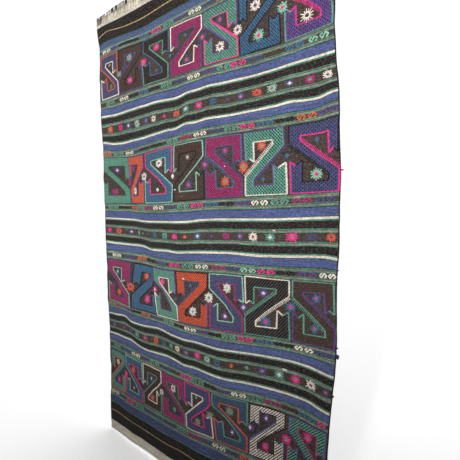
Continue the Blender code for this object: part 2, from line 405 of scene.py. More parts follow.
BANDS = [Band("oat", 2.7, "web end"), Band("coal", 6.0, "")]
BANDS += [Band("gold", 0.7, "upper gold"), Band("coal", 5.9, "")]
BANDS += [Band("moss", 0.5, ""), Band("steel", 4.2, "upper blue")]
BANDS += [THIN_LEAF, Band("tan", 0.5, ""), THIN_LEAF, Band("ground", 2.2, "pairs 1")] + BORDER
BANDS += [Band("ground", 32.9, "row 1")] + star_band(42.6, "pairs 2", "stars 1", "pairs 3")
BANDS += [Band("ground", 34.6, "row 2")] + star_band(42.6, "pairs 4", "stars 2", "pairs 5")
BANDS += [Band("ground", 32.0, "row 3")] + star_band(36.9, "pairs 6", "stars 3", "pairs 7")
BANDS += [Band("ground", 28.6, "row 4")] + small_figures("pairs 8")
BANDS += [Band("indigo", 5.2, ""), LEAF, Band("coal", 5.6, "")]
BANDS += [Band("gold", 0.7, "lower gold"), Band("coal", 7.9, "")]
BANDS += [Band("undyed", 100 * CLOTH_LENGTH - sum(band.width for band in BANDS), "")]

EDGES = np.cumsum([0.0] + [band.width for band in BANDS]) / 100.0
SPAN = {band.role: (EDGES[k], EDGES[k + 1]) for k, band in enumerate(BANDS) if band.role}
for role in SPAN:
    print(role, [round(float(100 * edge), 1) for edge in SPAN[role]], "cm down")

# %% [markdown]
# ## The weft's wander
#
# On a hand loom no stripe is quite level: the weaver beats one side harder, and the stripes
# rise and dip by a centimetre or two as they cross. All that is woven, stripes and figures
# alike, follows the same wander. A sum of waves would be shorter, but it would be nobody's
# hand. So some two dozen levels were read off a flattened view of the photograph: pairs
# of centimetres, so far from the middle, so far below the top of the black. A row of figures
# is noted by the lines at its top and foot, which lie a little inside its band.

# %% Wander
BLACK_STARTS = 0.03
ROW_LINE_IN = 0.00825
NOTED = {
    "web end": (
        (-92, -2.3), (-88, -2.3), (-84, -2.2), (-78, -1.8), (-60, -1.8), (-45, -1.7), (90, -1.65),
    ),
    "upper gold": (
        (-92, 6.8), (-87, 5.4), (-82, 4.2), (-76, 5.0), (-70, 6.3), (-60, 7.4), (-50, 7.4), (-40, 7.0),
        (-30, 6.9), (-20, 6.4), (0, 6.2), (90, 6.0),
    ),
    "upper blue": (
        (-90, 13.5), (-80, 14.0), (-70, 14.8), (-60, 14.8), (-48, 15.4), (-37, 15.7), (-26, 15.7),
        (-12, 15.9), (0, 15.3), (15, 15.0), (90, 14.8),
    ),
    "row 1 top": ((-90, 22.1), (-70, 22.6), (-40, 23.6), (0, 24.2), (12, 24.3), (25, 23.6), (90, 23.3)),
    "row 1 foot": (
        (-82, 53.3), (-30, 54.2), (0, 55.2), (18, 54.8), (36, 55.9), (50, 56.7), (70, 57.0), (90, 55.6),
    ),
    "line over stars 1": (
        (-90, 66.1), (-80, 66.7), (-73, 67.0), (-60, 66.7), (-50, 67.3), (-40, 67.6), (-30, 67.3),
        (-20, 68.1), (-10, 69.0), (0, 67.4), (10, 67.6), (16, 67.2), (30, 68.3), (50, 69.4), (60, 69.3),
        (70, 68.9), (89, 68.9),
    ),
    "stars 1": (
        (-83, 76.7), (-68, 76.3), (-50, 77.8), (-40, 77.8), (-21, 78.2), (-10, 78.9), (-2, 77.0),
        (19, 77.0), (30, 78.3), (49, 78.6), (68, 78.1), (79, 78.9), (88, 78.6),
    ),
    "line under stars 1": (
        (-91, 85.6), (-82, 87.8), (-73, 88.3), (-60, 88.2), (-50, 89.0), (-43, 89.2), (-33, 88.9),
        (-20, 87.9), (-11, 88.4), (-5, 86.0), (5, 86.9), (14, 86.1), (30, 87.3), (60, 87.9), (68, 87.3),
        (76, 88.4), (83, 89.0), (89, 86.9),
    ),
    "pairs 3": (
        (-88, 94.7), (-80, 96.1), (-64, 96.1), (-52, 96.7), (-30, 96.0), (-15, 95.6), (-3, 94.7),
        (9, 94.2), (32, 94.9), (53, 95.6), (77, 96.3), (84, 95.4), (90, 94.6),
    ),
    "row 2 top": (
        (-90, 97.6), (-80, 97.9), (-60, 99.4), (-40, 100.3), (-20, 98.8), (0, 97.8), (25, 97.8),
        (50, 98.8), (75, 99.4), (82, 99.8), (91, 98.6),
    ),
    "row 2 foot": (
        (-80, 132.0), (-55, 133.0), (-30, 133.6), (0, 133.3), (25, 133.0), (55, 132.8), (80, 132.8),
    ),
    "pairs 4": (
        (-84, 134.7), (-57, 135.8), (-40, 136.9), (-27, 137.1), (-5, 136.7), (17, 136.2), (62, 136.6),
        (86, 136.2),
    ),
    "line over stars 2": (
        (-90, 143.2), (-70, 144.2), (-60, 144.7), (-50, 145.6), (-40, 146.2), (-10, 146.7), (0, 146.4),
        (10, 145.4), (20, 145.2), (60, 145.6), (80, 145.1), (89, 144.9),
    ),
    "stars 2": (
        (-88, 152.0), (-65, 153.3), (-42, 154.7), (-22, 155.3), (-4, 155.8), (7, 155.0), (28, 154.6),
        (57, 154.6), (79, 153.9), (89, 154.0),
    ),
    "line under stars 2": (
        (-90, 161.3), (-80, 162.2), (-60, 163.1), (-51, 163.6), (-40, 165.4), (-20, 165.1),
        (-11, 166.0), (0, 165.2), (10, 164.7), (30, 164.0), (50, 164.8), (70, 164.0), (86, 163.2),
        (91, 164.2),
    ),
    "pairs 5": (
        (-79, 171.3), (-52, 172.4), (-27, 173.8), (-13, 174.0), (10, 173.3), (54, 172.9), (87, 172.3),
    ),
    "row 3 top": (
        (-90, 174.3), (-80, 174.6), (-60, 176.0), (-30, 178.0), (-10, 177.8), (10, 176.9), (25, 176.1),
        (60, 176.2), (90, 175.4),
    ),
    "row 3 foot": (
        (-88, 206.4), (-64, 208.2), (-40, 208.0), (-10, 209.0), (0, 209.2), (25, 208.1), (55, 206.7),
        (85, 206.0),
    ),
    "pairs 6": (
        (-87, 208.7), (-76, 208.7), (-46, 209.8), (-18, 210.7), (0, 212.2), (31, 211.3), (54, 209.6),
        (76, 209.0),
    ),
    "line over stars 3": (
        (-90, 216.4), (-80, 216.2), (-73, 215.3), (-68, 215.3), (-61, 218.3), (-50, 218.7),
        (-30, 217.0), (-24, 217.4), (-15, 219.0), (-4, 219.6), (4, 218.8), (25, 219.6), (38, 218.3),
        (46, 217.6), (62, 216.9), (80, 216.9), (91, 218.9),
    ),
    "stars 3": (
        (-85, 224.8), (-71, 224.0), (-61, 224.6), (-54, 226.2), (-44, 226.8), (-32, 225.4),
        (-16, 225.7), (-2, 227.3), (8, 226.6), (23, 227.6), (33, 227.0), (44, 225.6), (63, 225.0),
        (81, 225.3), (89, 226.4),
    ),
    "line under stars 3": (
        (-90, 231.4), (-61, 231.3), (-51, 234.1), (-41, 235.1), (-30, 234.0), (-20, 233.3),
        (-12, 233.9), (-4, 235.6), (6, 234.8), (20, 235.8), (30, 235.7), (38, 234.7), (50, 233.8),
        (62, 234.0), (80, 233.6), (91, 236.2),
    ),
    "pairs 7": (
        (-80, 240.6), (-20, 241.8), (-2, 242.4), (8, 242.2), (28, 243.4), (39, 242.2), (50, 241.1),
        (80, 241.4), (89, 242.2),
    ),
    "row 4 top": (
        (-80, 244.6), (-15, 245.6), (5, 245.8), (17, 246.6), (30, 246.0), (45, 244.4), (57, 244.0),
        (90, 244.6),
    ),
    "row 4 foot": ((-12, 273.0), (2, 273.4), (20, 272.0), (35, 272.2), (55, 272.3)),
    "lower gold": ((-90, 291.2), (-40, 291.8), (-20, 291.8), (-8, 290.4), (4, 290.9), (90, 290.8)),
}


def woven_level(name):
    """Where a noted level was meant to be: the middle of a band, or the line in a row's edge."""
    if name in SPAN:
        return sum(SPAN[name]) / 2
    role, end = name.rsplit(" ", 1)
    return SPAN[role][0] + ROW_LINE_IN if end == "top" else SPAN[role][1] - ROW_LINE_IN


print(len(NOTED), "levels noted")

# %% [markdown]
# ## From notes to every place
#
# Between the notes the wander is read off: first along each level, at stations across the
# cloth, and then down each station. That alone would give it corners, so the table is smoothed
# a few times, each place with its neighbours.

# %% The wander's table
STATIONS, LEVEL_ROWS = 149, 310
SMOOTHINGS = 3
PLACING_STEPS = 6

stations = np.linspace(-HALF_WIDTH, HALF_WIDTH, STATIONS)
levels, shifts = [0.0], [np.zeros(STATIONS)]
for name, notes in NOTED.items():
    places, readings = np.array(notes).T / 100.0
    levels.append(woven_level(name))
    shifts.append(np.interp(stations, places, readings + BLACK_STARTS) - levels[-1])
levels.append(CLOTH_LENGTH)
shifts.append(np.zeros(STATIONS))
rows_down = np.linspace(0.0, CLOTH_LENGTH, LEVEL_ROWS)
WANDER = np.array([np.interp(rows_down, levels, column) for column in np.array(shifts).T]).T
for turn in range(SMOOTHINGS):
    WANDER[1:-1] = (WANDER[:-2] + 2 * WANDER[1:-1] + WANDER[2:]) / 4
    WANDER[:, 1:-1] = (WANDER[:, :-2] + 2 * WANDER[:, 1:-1] + WANDER[:, 2:]) / 4
WANDER = WANDER[..., None]
print("wander from", round(1000 * float(WANDER.min())), "to", round(1000 * float(WANDER.max())), "mm")


def wander(across, down):
    """How far below its level a weft thread lies."""
    return read_table(WANDER, across, down)[..., 0]


def woven_at(across, down, lift=0.0):
    """Points in space for places in the weave, wander and all."""
    return on_cloth(across, down + wander(across, down), lift)


def level_under(across, below_black):
    """The weave's own level, in metres, at a place given in centimetres as noted on the cloth."""
    place, measured = np.array(across / 100.0), below_black / 100.0 + BLACK_STARTS
    down = np.array(measured)
    for step in range(PLACING_STEPS):
        down = measured - wander(place, down)
    return float(down)


# %% [markdown]
# ## Wool
#
# Hand-spun wool has no shine to speak of. What it has is a soft pale edge where its hairs
# catch the light, colours that drift from one skein to the next, fine streaks along the
# weft, and here and there a fleck of lint. One picture of wool could be laid over everything,
# but it would have seams and repeat. Here all yarns share one recipe of nodes instead. It reads
# the yarn's own colour from the mesh, drifts and streaks it, and raises the weave as bump. The
# warp's ribs are 3.5 mm apart and the weft's threads a little over 1 mm, so one cell of the bump
# is one weft thread over one warp.

# %% Node helpers
def link(tree, output, target):
    """Lead one node's output to another's input."""
    tree.links.new(output, target)


def math_node(tree, operation, first, second=None):
    """A Math node; each input is a socket or a number."""
    node = tree.nodes.new("ShaderNodeMath")
    node.operation = operation
    for socket, value in zip(node.inputs, (first, second)):
        if value is None:
            continue
        if isinstance(value, (int, float)):
            socket.default_value = value
        else:
            link(tree, value, socket)
    return node.outputs[0]


Grain = namedtuple("Grain", "bumps detail along_weft low high")


def noise_node(tree, vector, grain):
    """Noise at so many bumps a metre, stretched along the weft where its share is small."""
    mapping = tree.nodes.new("ShaderNodeMapping")
    mapping.inputs["Scale"].default_value = [grain.bumps * grain.along_weft, grain.bumps, grain.bumps]
    noise = tree.nodes.new("ShaderNodeTexNoise")
    noise.inputs["Scale"].default_value = 1.0
    noise.inputs["Detail"].default_value = grain.detail
    link(tree, vector, mapping.inputs["Vector"])
    link(tree, mapping.outputs["Vector"], noise.inputs["Vector"])
    return noise.outputs["Fac"]


def spread_node(tree, vector, grain, to_low, to_high):
    """Noise whose low and high are spread out between two other values."""
    node = tree.nodes.new("ShaderNodeMapRange")
    limits = {"From Min": grain.low, "From Max": grain.high, "To Min": to_low, "To Max": to_high}
    for name, number in limits.items():
        node.inputs[name].default_value = number
    link(tree, noise_node(tree, vector, grain), node.inputs["Value"])
    return node.outputs["Result"]


SKEIN_DRIFT = Grain(5.0, 2.0, 1.0, 0.30, 0.70)
FIBRE_GRAIN = Grain(110.0, 4.0, 0.60, 0.25, 0.75)
WEFT_STREAK = Grain(190.0, 2.0, 0.05, 0.30, 0.70)
LINT_SPOTS = Grain(150.0, 3.0, 0.50, 0.50, 0.78)
FIBRE_RELIEF = Grain(900.0, 3.0, 0.35, 0.0, 1.0)
print("a streak is", round(1000 / (WEFT_STREAK.bumps * WEFT_STREAK.along_weft)), "mm long")

# %% [markdown]
# ## One recipe for three wools
#
# The recipe multiplies the yarn's colour by a wide drift, a fine grain and the streaks, and adds
# lint. It could take its relief from a picture of cloth. Here it comes from two sines, one for
# the warp's ribs and one for the weft's threads, each row shifted by half a rib, so it stays
# sharp at any distance. The web, the figures and the fringe differ only in how strong each is.

# %% The wool recipe
WARP_PITCH = 0.0035
WEFT_PITCH = 0.0013
LINT = tuple(linear(150, 140, 132))
WOOL_LOOKS = {
    "Roughness": 0.95,
    "Specular IOR Level": 0.06,
    "Sheen Weight": 0.01,
    "Sheen Roughness": 0.6,
}
HALF_A_RIB = 0.5
RIB_BASE = 1.6
RIB_TOP = RIB_BASE + 1.0
BUMP_STRENGTH = 0.8


def wool(name, weave_depth, fibre_depth, drift=0.12, grain=0.46, streak=0.24, lint=0.45):
    """A wool material. weave_depth and fibre_depth are bump heights in metres."""
    material = bpy.data.materials.new(name)
    material.use_nodes = True
    tree = material.node_tree
    shader = tree.nodes["Principled BSDF"]
    for look, value in WOOL_LOOKS.items():
        shader.inputs[look].default_value = value
    place = tree.nodes.new("ShaderNodeUVMap")
    place.uv_map = "cloth"
    vector = place.outputs["UV"]

    wide = spread_node(tree, vector, SKEIN_DRIFT, 1 - drift, 1 + drift)
    fine = spread_node(tree, vector, FIBRE_GRAIN, 1 - grain, 1 + grain)
    streaks = spread_node(tree, vector, WEFT_STREAK, 1 - streak, 1 + streak)
    value = math_node(tree, "MULTIPLY", math_node(tree, "MULTIPLY", wide, fine), streaks)
    yarn = tree.nodes.new("ShaderNodeAttribute")
    yarn.attribute_name = "yarn"
    scaled = tree.nodes.new("ShaderNodeVectorMath")
    scaled.operation = "SCALE"
    link(tree, yarn.outputs["Color"], scaled.inputs[0])
    link(tree, value, scaled.inputs["Scale"])
    fleck_colour = tree.nodes.new("ShaderNodeVectorMath")
    fleck_colour.operation = "MULTIPLY_ADD"
    fleck_colour.inputs[0].default_value = LINT
    link(tree, spread_node(tree, vector, LINT_SPOTS, 0.0, lint), fleck_colour.inputs[1])
    link(tree, scaled.outputs["Vector"], fleck_colour.inputs[2])
    link(tree, fleck_colour.outputs["Vector"], shader.inputs["Base Color"])

    split = tree.nodes.new("ShaderNodeSeparateXYZ")
    link(tree, vector, split.inputs["Vector"])
    weft = math_node(tree, "DIVIDE", split.outputs["Y"], WEFT_PITCH)
    warp = math_node(tree, "DIVIDE", split.outputs["X"], WARP_PITCH)
    row = math_node(tree, "FLOOR", weft)
    shifted = math_node(tree, "ADD", warp, math_node(tree, "MULTIPLY", row, HALF_A_RIB))
    over = math_node(tree, "SINE", math_node(tree, "MULTIPLY", shifted, math.tau))
    round_thread = math_node(tree, "SINE", math_node(tree, "MULTIPLY", weft, math.pi))
    raised = math_node(tree, "ADD", over, RIB_BASE)
    cells = math_node(tree, "MULTIPLY", raised, math_node(tree, "ABSOLUTE", round_thread))
    fibres = noise_node(tree, vector, FIBRE_RELIEF)
    weave = math_node(tree, "MULTIPLY", cells, weave_depth / RIB_TOP)
    height = math_node(tree, "ADD", weave, math_node(tree, "MULTIPLY", fibres, fibre_depth))
    bump = tree.nodes.new("ShaderNodeBump")
    bump.inputs["Distance"].default_value = 1.0
    bump.inputs["Strength"].default_value = BUMP_STRENGTH
    link(tree, height, bump.inputs["Height"])
    link(tree, bump.outputs["Normal"], shader.inputs["Normal"])
    return material


WEB_WOOL = wool("web_wool", 0.0007, 0.0004)
FIGURE_WOOL = wool("figure_wool", 0.0003, 0.0006, drift=0.08, grain=0.34, streak=0.12, lint=0.2)
FRINGE_YARN = wool("fringe_yarn", 0.0, 0.0006, drift=0.08, grain=0.20, streak=0.05, lint=0.0)
print("materials:", WEB_WOOL.name, FIGURE_WOOL.name, FRINGE_YARN.name)

# %% [markdown]
# ## Making a mesh from arrays
#
# Tens of thousands of stitches would take minutes if they were added one by one. Blender
# takes whole arrays at once: points, then the corners of the faces, then a colour and a flat
# place for each corner.

# %% Mesh helper
def add_piece(name, points, faces, colours, flat, material):
    """One mesh object.

    flat is (across, down) for each point. The colours are for the points or for the corners of
    the faces, whichever their number fits.
    """
    mesh = bpy.data.meshes.new(name)
    count, corners = faces.shape
    mesh.vertices.add(len(points))
    mesh.vertices.foreach_set("co", points.astype(np.float32).ravel())
    mesh.loops.add(count * corners)
    mesh.loops.foreach_set("vertex_index", faces.astype(np.int32).ravel())
    mesh.polygons.add(count)
    mesh.polygons.foreach_set("loop_start", np.arange(0, count * corners, corners, dtype=np.int32))
    mesh.update(calc_edges=True)
    mesh.validate()
    corner_points = faces.ravel()
    if len(colours) == len(points):
        colours = colours[corner_points]
    solid = np.concatenate([colours, np.ones((len(colours), 1))], axis=1)
    layer = mesh.color_attributes.new("yarn", "FLOAT_COLOR", "CORNER")
    layer.data.foreach_set("color", solid.astype(np.float32).ravel())
    share = flat / (CLOTH_WIDTH, CLOTH_LENGTH) * (1, -1) + (0.5, 1.0)
    for title, places in (("cloth", flat), ("OFBake", share)):
        layer = mesh.uv_layers.new(name=title)
        layer.uv.foreach_set("vector", places[corner_points].astype(np.float32).ravel())
    mesh.polygons.foreach_set("use_smooth", np.full(count, True))
    mesh.materials.append(material)
    piece = bpy.data.objects.new(name, mesh)
    bpy.context.scene.collection.objects.link(piece)
    print(f"{name}: {count * (corners - 2)} triangles")
    return piece


print("each piece gets its yarn colours and its place on the flat cloth")

# %% [markdown]
# ## The web
#
# The striped ground is a closed sheet, 3 mm thick. It could be an even grid with the stripes
# painted on. Here its rows of faces end exactly where a stripe ends, so the stripes stay sharp
# at any distance, and each row takes its stripe's yarn.

# %% Rows of the web
ROW_HEIGHT = 0.0125
ROW_DRIFT = 0.05
UNEVEN, SPECKLED, EVEN = 0.07, 0.16, 0.03
SPECKLE = {"leaf": SPECKLED, "tan": SPECKLED, "cream": EVEN, "undyed": EVEN, "oat": EVEN}
random = np.random.default_rng(11)

downs, row_yarns, row_speckle = [0.0], [], []
for k, band in enumerate(BANDS):
    rows = max(1, int(round(band.width / 100.0 / ROW_HEIGHT)))
    for row in range(rows):
        downs.append(EDGES[k] + (EDGES[k + 1] - EDGES[k]) * (row + 1) / rows)
        row_yarns.append(YARN[band.yarn] * random.normal(1.0, ROW_DRIFT))
        row_speckle.append(SPECKLE.get(band.yarn, UNEVEN))
downs = np.array(downs)
print(len(row_yarns), "rows in", len(BANDS), "stripes")

# %% [markdown]
# ## Its faces
#
# The sheet has a face, a back and a rim between them. A modifier could thicken a single face,
# but made by hand the rim gets a dark yarn of its own. The outermost column on each side is
# narrow: it is the selvedge, where the outer warps are bound in black.

# %% Faces of the web
WEB_COLUMNS = 150
SELVEDGE = 0.006
inner = np.linspace(-HALF_WIDTH + SELVEDGE, HALF_WIDTH - SELVEDGE, WEB_COLUMNS - 1)
acrosses = np.concatenate([[-HALF_WIDTH], inner, [HALF_WIDTH]])
across_grid, down_grid = np.meshgrid(acrosses, downs)
face_points = woven_at(across_grid, down_grid, CLOTH_THICKNESS / 2)
back_points = woven_at(across_grid, down_grid, -CLOTH_THICKNESS / 2)

rows, columns = across_grid.shape
index = np.arange(rows * columns).reshape(rows, columns)
cell = np.stack([index[:-1, :-1], index[1:, :-1], index[1:, 1:], index[:-1, 1:]], axis=-1)
front_faces = cell.reshape(-1, 4)
back_faces = front_faces[:, ::-1] + rows * columns
ring = np.concatenate([index[0, :-1], index[:-1, -1], index[-1, :0:-1], index[:0:-1, 0]])
following = np.roll(ring, -1)
rim_faces = np.stack([ring, following, following + rows * columns, ring + rows * columns], axis=-1)
print(rows, "by", columns, "points on the face and on the back")

# %% [markdown]
# ## Its yarns
#
# Yarn of one stripe isn't of one colour: it was spun and dyed by hand, so it runs lighter and
# darker along the weft. In the borders, where two yarns are twined, it is speckled. A picture of
# wool could be laid over it, but it would repeat. So each place along a row gets a random share
# of light of its own and another that it has in common with its neighbours.

# %% Yarns of the web
HAIR = 1e-6
OWN_SHARE, RUN_SHARE, RUN_LENGTH = 0.7, 0.45, 5
cell_yarn = np.repeat(np.array(row_yarns)[:, None, :], columns - 1, axis=1)
for k, band in enumerate(BANDS):
    if band.yarn not in ("undyed", "oat"):
        inside = (downs[:-1] >= EDGES[k] - HAIR) & (downs[:-1] < EDGES[k + 1] - HAIR)
        cell_yarn[inside, 0] = cell_yarn[inside, -1] = YARN["black"]
chance = random.normal(0.0, 1.0, (rows - 1, columns + RUN_LENGTH - 1))
shared = sum(RUN_SHARE * chance[:, k:k + columns] for k in range(RUN_LENGTH)) / math.sqrt(RUN_LENGTH)
run = OWN_SHARE * chance[:, 2:-2] + shared
uneven = np.exp(run * np.array(row_speckle)[:, None])
corner_share = np.stack([uneven[:, :-1], uneven[:, :-1], uneven[:, 1:], uneven[:, 1:]], axis=-1)
cell_yarn = (cell_yarn[:, :, None, :] * corner_share[..., None]).reshape(-1, 4, 3)
rim_yarn = np.tile(YARN["dark"], (len(rim_faces), 4, 1))
web_yarn = np.concatenate([cell_yarn, cell_yarn[:, ::-1], rim_yarn])
flat_web = np.stack([across_grid, down_grid], axis=-1).reshape(-1, 2)
web = add_piece(
    "striped_web",
    np.concatenate([face_points.reshape(-1, 3), back_points.reshape(-1, 3)]),
    np.concatenate([front_faces, back_faces, rim_faces]),
    web_yarn.reshape(-1, 3),
    np.concatenate([flat_web, flat_web]),
    WEB_WOOL,
)
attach(web, "root")
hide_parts("woven_panel")

# %% [markdown]
# ## One stitch
#
# A figure is laid in with floats: short lengths of thick yarn that pass over a few warps and
# dip back into the cloth. Seen close, each is a small pillow. It could be a bent tube, but at
# tens of thousands of them a tube is too heavy. Six triangles are enough: a low hipped roof on
# a slanted footprint, shaded smooth.

# %% Stitches
STITCH_POINTS = 6
STITCH_FACES = np.array([(1, 0, 4), (1, 4, 5), (3, 2, 5), (3, 5, 4), (2, 1, 5), (0, 3, 4)])
Stitch = namedtuple("Stitch", "across down half_length half_width turn slant height red green blue")
YARN_DRIFT = 0.08
RIDGE_TUCK = 0.5
yarn_dice = np.random.default_rng(23)


def stitch(across, down, half_length, half_width, yarn, height, turn=0.0, slant=0.0):
    """A float at a place on the flat cloth, its yarn a little off its neighbours' colour."""
    red, green, blue = YARN[yarn] * yarn_dice.normal(1.0, YARN_DRIFT)
    return Stitch(across, down, half_length, half_width, turn, slant, height, red, green, blue)


def sew(name, stitches, side=1.0):
    """Turn stitches into one piece, on the face (side 1) or on the back (side -1)."""
    across, down, long, wide, turn, slant, height, *colours = np.array(stitches).T
    colours = np.clip(np.stack(colours, axis=-1), 0.0, 1.0)
    tuck = np.minimum(RIDGE_TUCK * long, wide)
    lean = slant * wide
    along = np.stack([-long - lean, long - lean, long + lean, -long + lean, -long + tuck, long - tuck])
    beside = np.stack([-wide, -wide, wide, wide, 0 * wide, 0 * wide])
    rise = np.stack([0 * height] * 4 + [height] * 2)
    u = across + along * np.cos(turn) - beside * np.sin(turn)
    v = down + along * np.sin(turn) + beside * np.cos(turn)
    u, v, rise = u.T.ravel(), v.T.ravel(), rise.T.ravel()
    points = woven_at(u, v, side * (CLOTH_THICKNESS / 2 + rise))
    faces = STITCH_FACES if side > 0 else STITCH_FACES[:, ::-1]
    firsts = STITCH_POINTS * np.arange(len(stitches))
    faces = (faces[None] + firsts[:, None, None]).reshape(-1, 3)
    colours = np.repeat(colours, STITCH_POINTS, axis=0)
    piece = add_piece(name, points, faces, colours, np.stack([u, v], axis=-1), FIGURE_WOOL)
    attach(piece, "root")
    return piece


print("a stitch has", len(STITCH_FACES), "triangles")

# %% [markdown]
# ## Filling a shape, row by row
#
# The weaver fills a figure one weft row at a time. A figure could be one flat patch with the
# texture painted on. The fill does as the weaver does: it finds where each row enters and
# leaves the shape, and lays floats between. Plain rows have floats nearly end to end. Dense,
# fine, faint and dotted rows leave a gap at each float's end and shift by about half a float,
# and a yarn laid under them shows in the gaps as a lattice of dots. Under these and the slashed
# rows it is black or dark, darker than the ground, as painted shade in the gaps; under the twill
# it is grey. Slashed and twilled rows have slanting ends and shift so that the gaps join up into
# slanting lines. Where a texture has a rim, a float closes each end of its rows, so that the edge
# stays crisp.

# %% Fill
Texture = namedtuple("Texture", "row cover pitch gap slant shift rim height under")
# The black and dark yarns laid under are darker than the ground: painted shade in the gaps.
TEXTURE = {
    "plain": Texture(0.0046, 0.94, 0.0105, 0.0022, 0.2, 0.34, 0.0, 0.0012, ""),
    "dense": Texture(0.0066, 1.04, 0.0165, 0.0050, 0.1, 0.44, 0.0, 0.0013, "black"),
    "fine": Texture(0.0082, 1.08, 0.0175, 0.0058, -0.1, 0.44, 0.0060, 0.0014, "black"),
    "faint": Texture(0.0087, 1.10, 0.0186, 0.0047, -0.3, 0.50, 0.0085, 0.0014, "black"),
    "dotted": Texture(0.0086, 1.06, 0.0173, 0.0057, 0.4, 0.50, 0.0085, 0.0014, "dark"),
    "slashed": Texture(0.0092, 0.98, 0.0168, 0.0058, -1.13, -0.61, 0.0050, 0.0016, "dark"),
    "twill": Texture(0.0080, 1.04, 0.0177, 0.0036, -0.9, -0.42, 0.0060, 0.0013, "grey"),
    "reverse": Texture(0.0090, 0.94, 0.0180, 0.0020, 0.3, 0.37, 0.0, 0.0010, ""),
}
UNDER_LENGTH, UNDER_HEIGHT = 0.022, 0.0004
UNDER_COVER, RIM_COVER = 0.53, 0.54
SHORTEST_FLOAT = 0.0012
FULL_HEIGHT_FROM = 0.003


def crossings(outline, level):
    """Where a level line crosses a closed outline, from left to right."""
    found = []
    for (u, v), (next_u, next_v) in zip(outline, outline[1:] + outline[:1]):
        if (v <= level) != (next_v <= level):
            found.append(u + (next_u - u) * (level - v) / (next_v - v))
    return sorted(found)


def fill(outline, yarn, texture):
    """Floats that fill a closed outline on the flat cloth."""
    look = TEXTURE[texture]
    tall = look.row * look.cover / 2
    top, foot = min(v for _, v in outline), max(v for _, v in outline)
    first = int(math.ceil(top / look.row - 0.5))
    last = int(math.floor(foot / look.row - 0.5))
    stitches = []
    for row in range(first, last + 1):
        level = (row + 0.5) * look.row
        ends = crossings(outline, level)
        for left, right in zip(ends[::2], ends[1::2]):
            start = (row * look.shift % 1.0) * look.pitch
            # The yarn laid under shows in the gaps; where it is black or dark, it carries painted shade.
            if look.under:
                pieces = max(1, int(round((right - left) / UNDER_LENGTH)))
                half = (right - left) / pieces / 2
                for k in range(pieces):
                    at = left + (2 * k + 1) * half
                    wide = look.row * UNDER_COVER
                    stitches.append(stitch(at, level, half, wide, look.under, UNDER_HEIGHT))
            if look.rim:
                half = min(look.rim, right - left) / 2
                for middle in (left + half, right - half):
                    stitches.append(stitch(middle, level, half, look.row * RIM_COVER, yarn, look.height))
            number = math.floor((left - start) / look.pitch)
            while start + number * look.pitch < right:
                begin = max(left, start + number * look.pitch + look.gap / 2)
                end = min(right, start + (number + 1) * look.pitch - look.gap / 2)
                number += 1
                if end - begin > SHORTEST_FLOAT:
                    middle, half = (begin + end) / 2, (end - begin) / 2
                    height = look.height * min(1.0, half / FULL_HEIGHT_FROM)
                    stitches.append(stitch(middle, level, half, tall, yarn, height, 0.0, look.slant))
    return stitches


print(len(TEXTURE), "textures")

# %% [markdown]
# ## Drawing a line of yarn
#
# Each figure is outlined in another colour. The line could be a ribbon. Here it is a close row
# of stitches, like a rope, and thinner where it runs level. On the slant some of the lines are
# thicker, and some are thin and have teeth: at each step the yarn is carried on over the ground
# for a centimetre and a half, away from the figure.

# %% Lines
LINE_WIDTH = 0.0100
LINE_HEIGHT = 0.0019
LEVEL_LINE = 0.60
SLANTED, THICK = 0.84, 1.40
ROPE_PITCH = 0.0046
ROPE_COVER, UPRIGHT_COVER = 0.56, 0.54
LEVEL_BELOW, UPRIGHT_ABOVE = 0.25, 0.93
UPRIGHT_TILT = 0.25
LEVEL_TURN, LEVEL_SLANT = math.radians(72), 0.2
SHORT_LINE = 0.060
TOOTH_PITCH = 0.0094
TOOTH_LENGTH = 0.0165
TOOTH_WIDTH = 0.0042
TOOTH_TUCK = 0.0015
TOOTH_SWAY = 0.06
TOOTHED_CORE = 0.0045
NO_LENGTH = 1e-5


def line(path, yarn, width=LINE_WIDTH, height=LINE_HEIGHT, slant="", away=1.0):
    """Stitches along a path of places on the flat cloth.

    The teeth of a toothed line are on its left, or on its right if away is -1.
    """
    stitches = []
    for (u, v), (next_u, next_v) in zip(path, path[1:]):
        over, below = next_u - u, next_v - v
        length = math.hypot(over, below)
        if length < NO_LENGTH:
            continue
        heading = math.atan2(below, over)
        steep = abs(math.sin(heading))
        slanting = LEVEL_BELOW < steep < UPRIGHT_ABOVE
        on_slant = slant if slanting and length > SHORT_LINE else ""
        core = {"toothed": TOOTHED_CORE, "thick": width * THICK}.get(on_slant, width * SLANTED)
        count = max(1, int(round(length / ROPE_PITCH)))
        reach = length / count
        for k in range(count):
            share = (k + 0.5) / count
            at = (u + over * share, v + below * share)
            wide = reach * ROPE_COVER
            if steep >= UPRIGHT_ABOVE:
                wide = reach * UPRIGHT_COVER
                stitches.append(stitch(*at, width * 0.5, wide, yarn, height, UPRIGHT_TILT))
            elif steep <= LEVEL_BELOW:
                half = width * LEVEL_LINE * 0.5
                stitches.append(stitch(*at, half, wide, yarn, height, LEVEL_TURN, LEVEL_SLANT))
            else:
                stitches.append(stitch(*at, core / 2, wide, yarn, height, heading + math.pi / 2))
        if on_slant == "toothed":
            teeth = int(round(length / TOOTH_PITCH))
            out = away * (core / 2 + TOOTH_LENGTH / 2 - TOOTH_TUCK) / length
            for k in range(teeth):
                share = (k + 0.5) / teeth
                at = (u + over * share + below * out, v + below * share - over * out)
                tip = heading + math.pi / 2 + yarn_dice.normal(0.0, TOOTH_SWAY)
                stitches.append(stitch(*at, TOOTH_LENGTH / 2, TOOTH_WIDTH / 2, yarn, height, tip))
    return stitches


print("a line is", 1000 * LINE_WIDTH, "mm wide, or", 1000 * LINE_WIDTH * LEVEL_LINE, "mm where level")

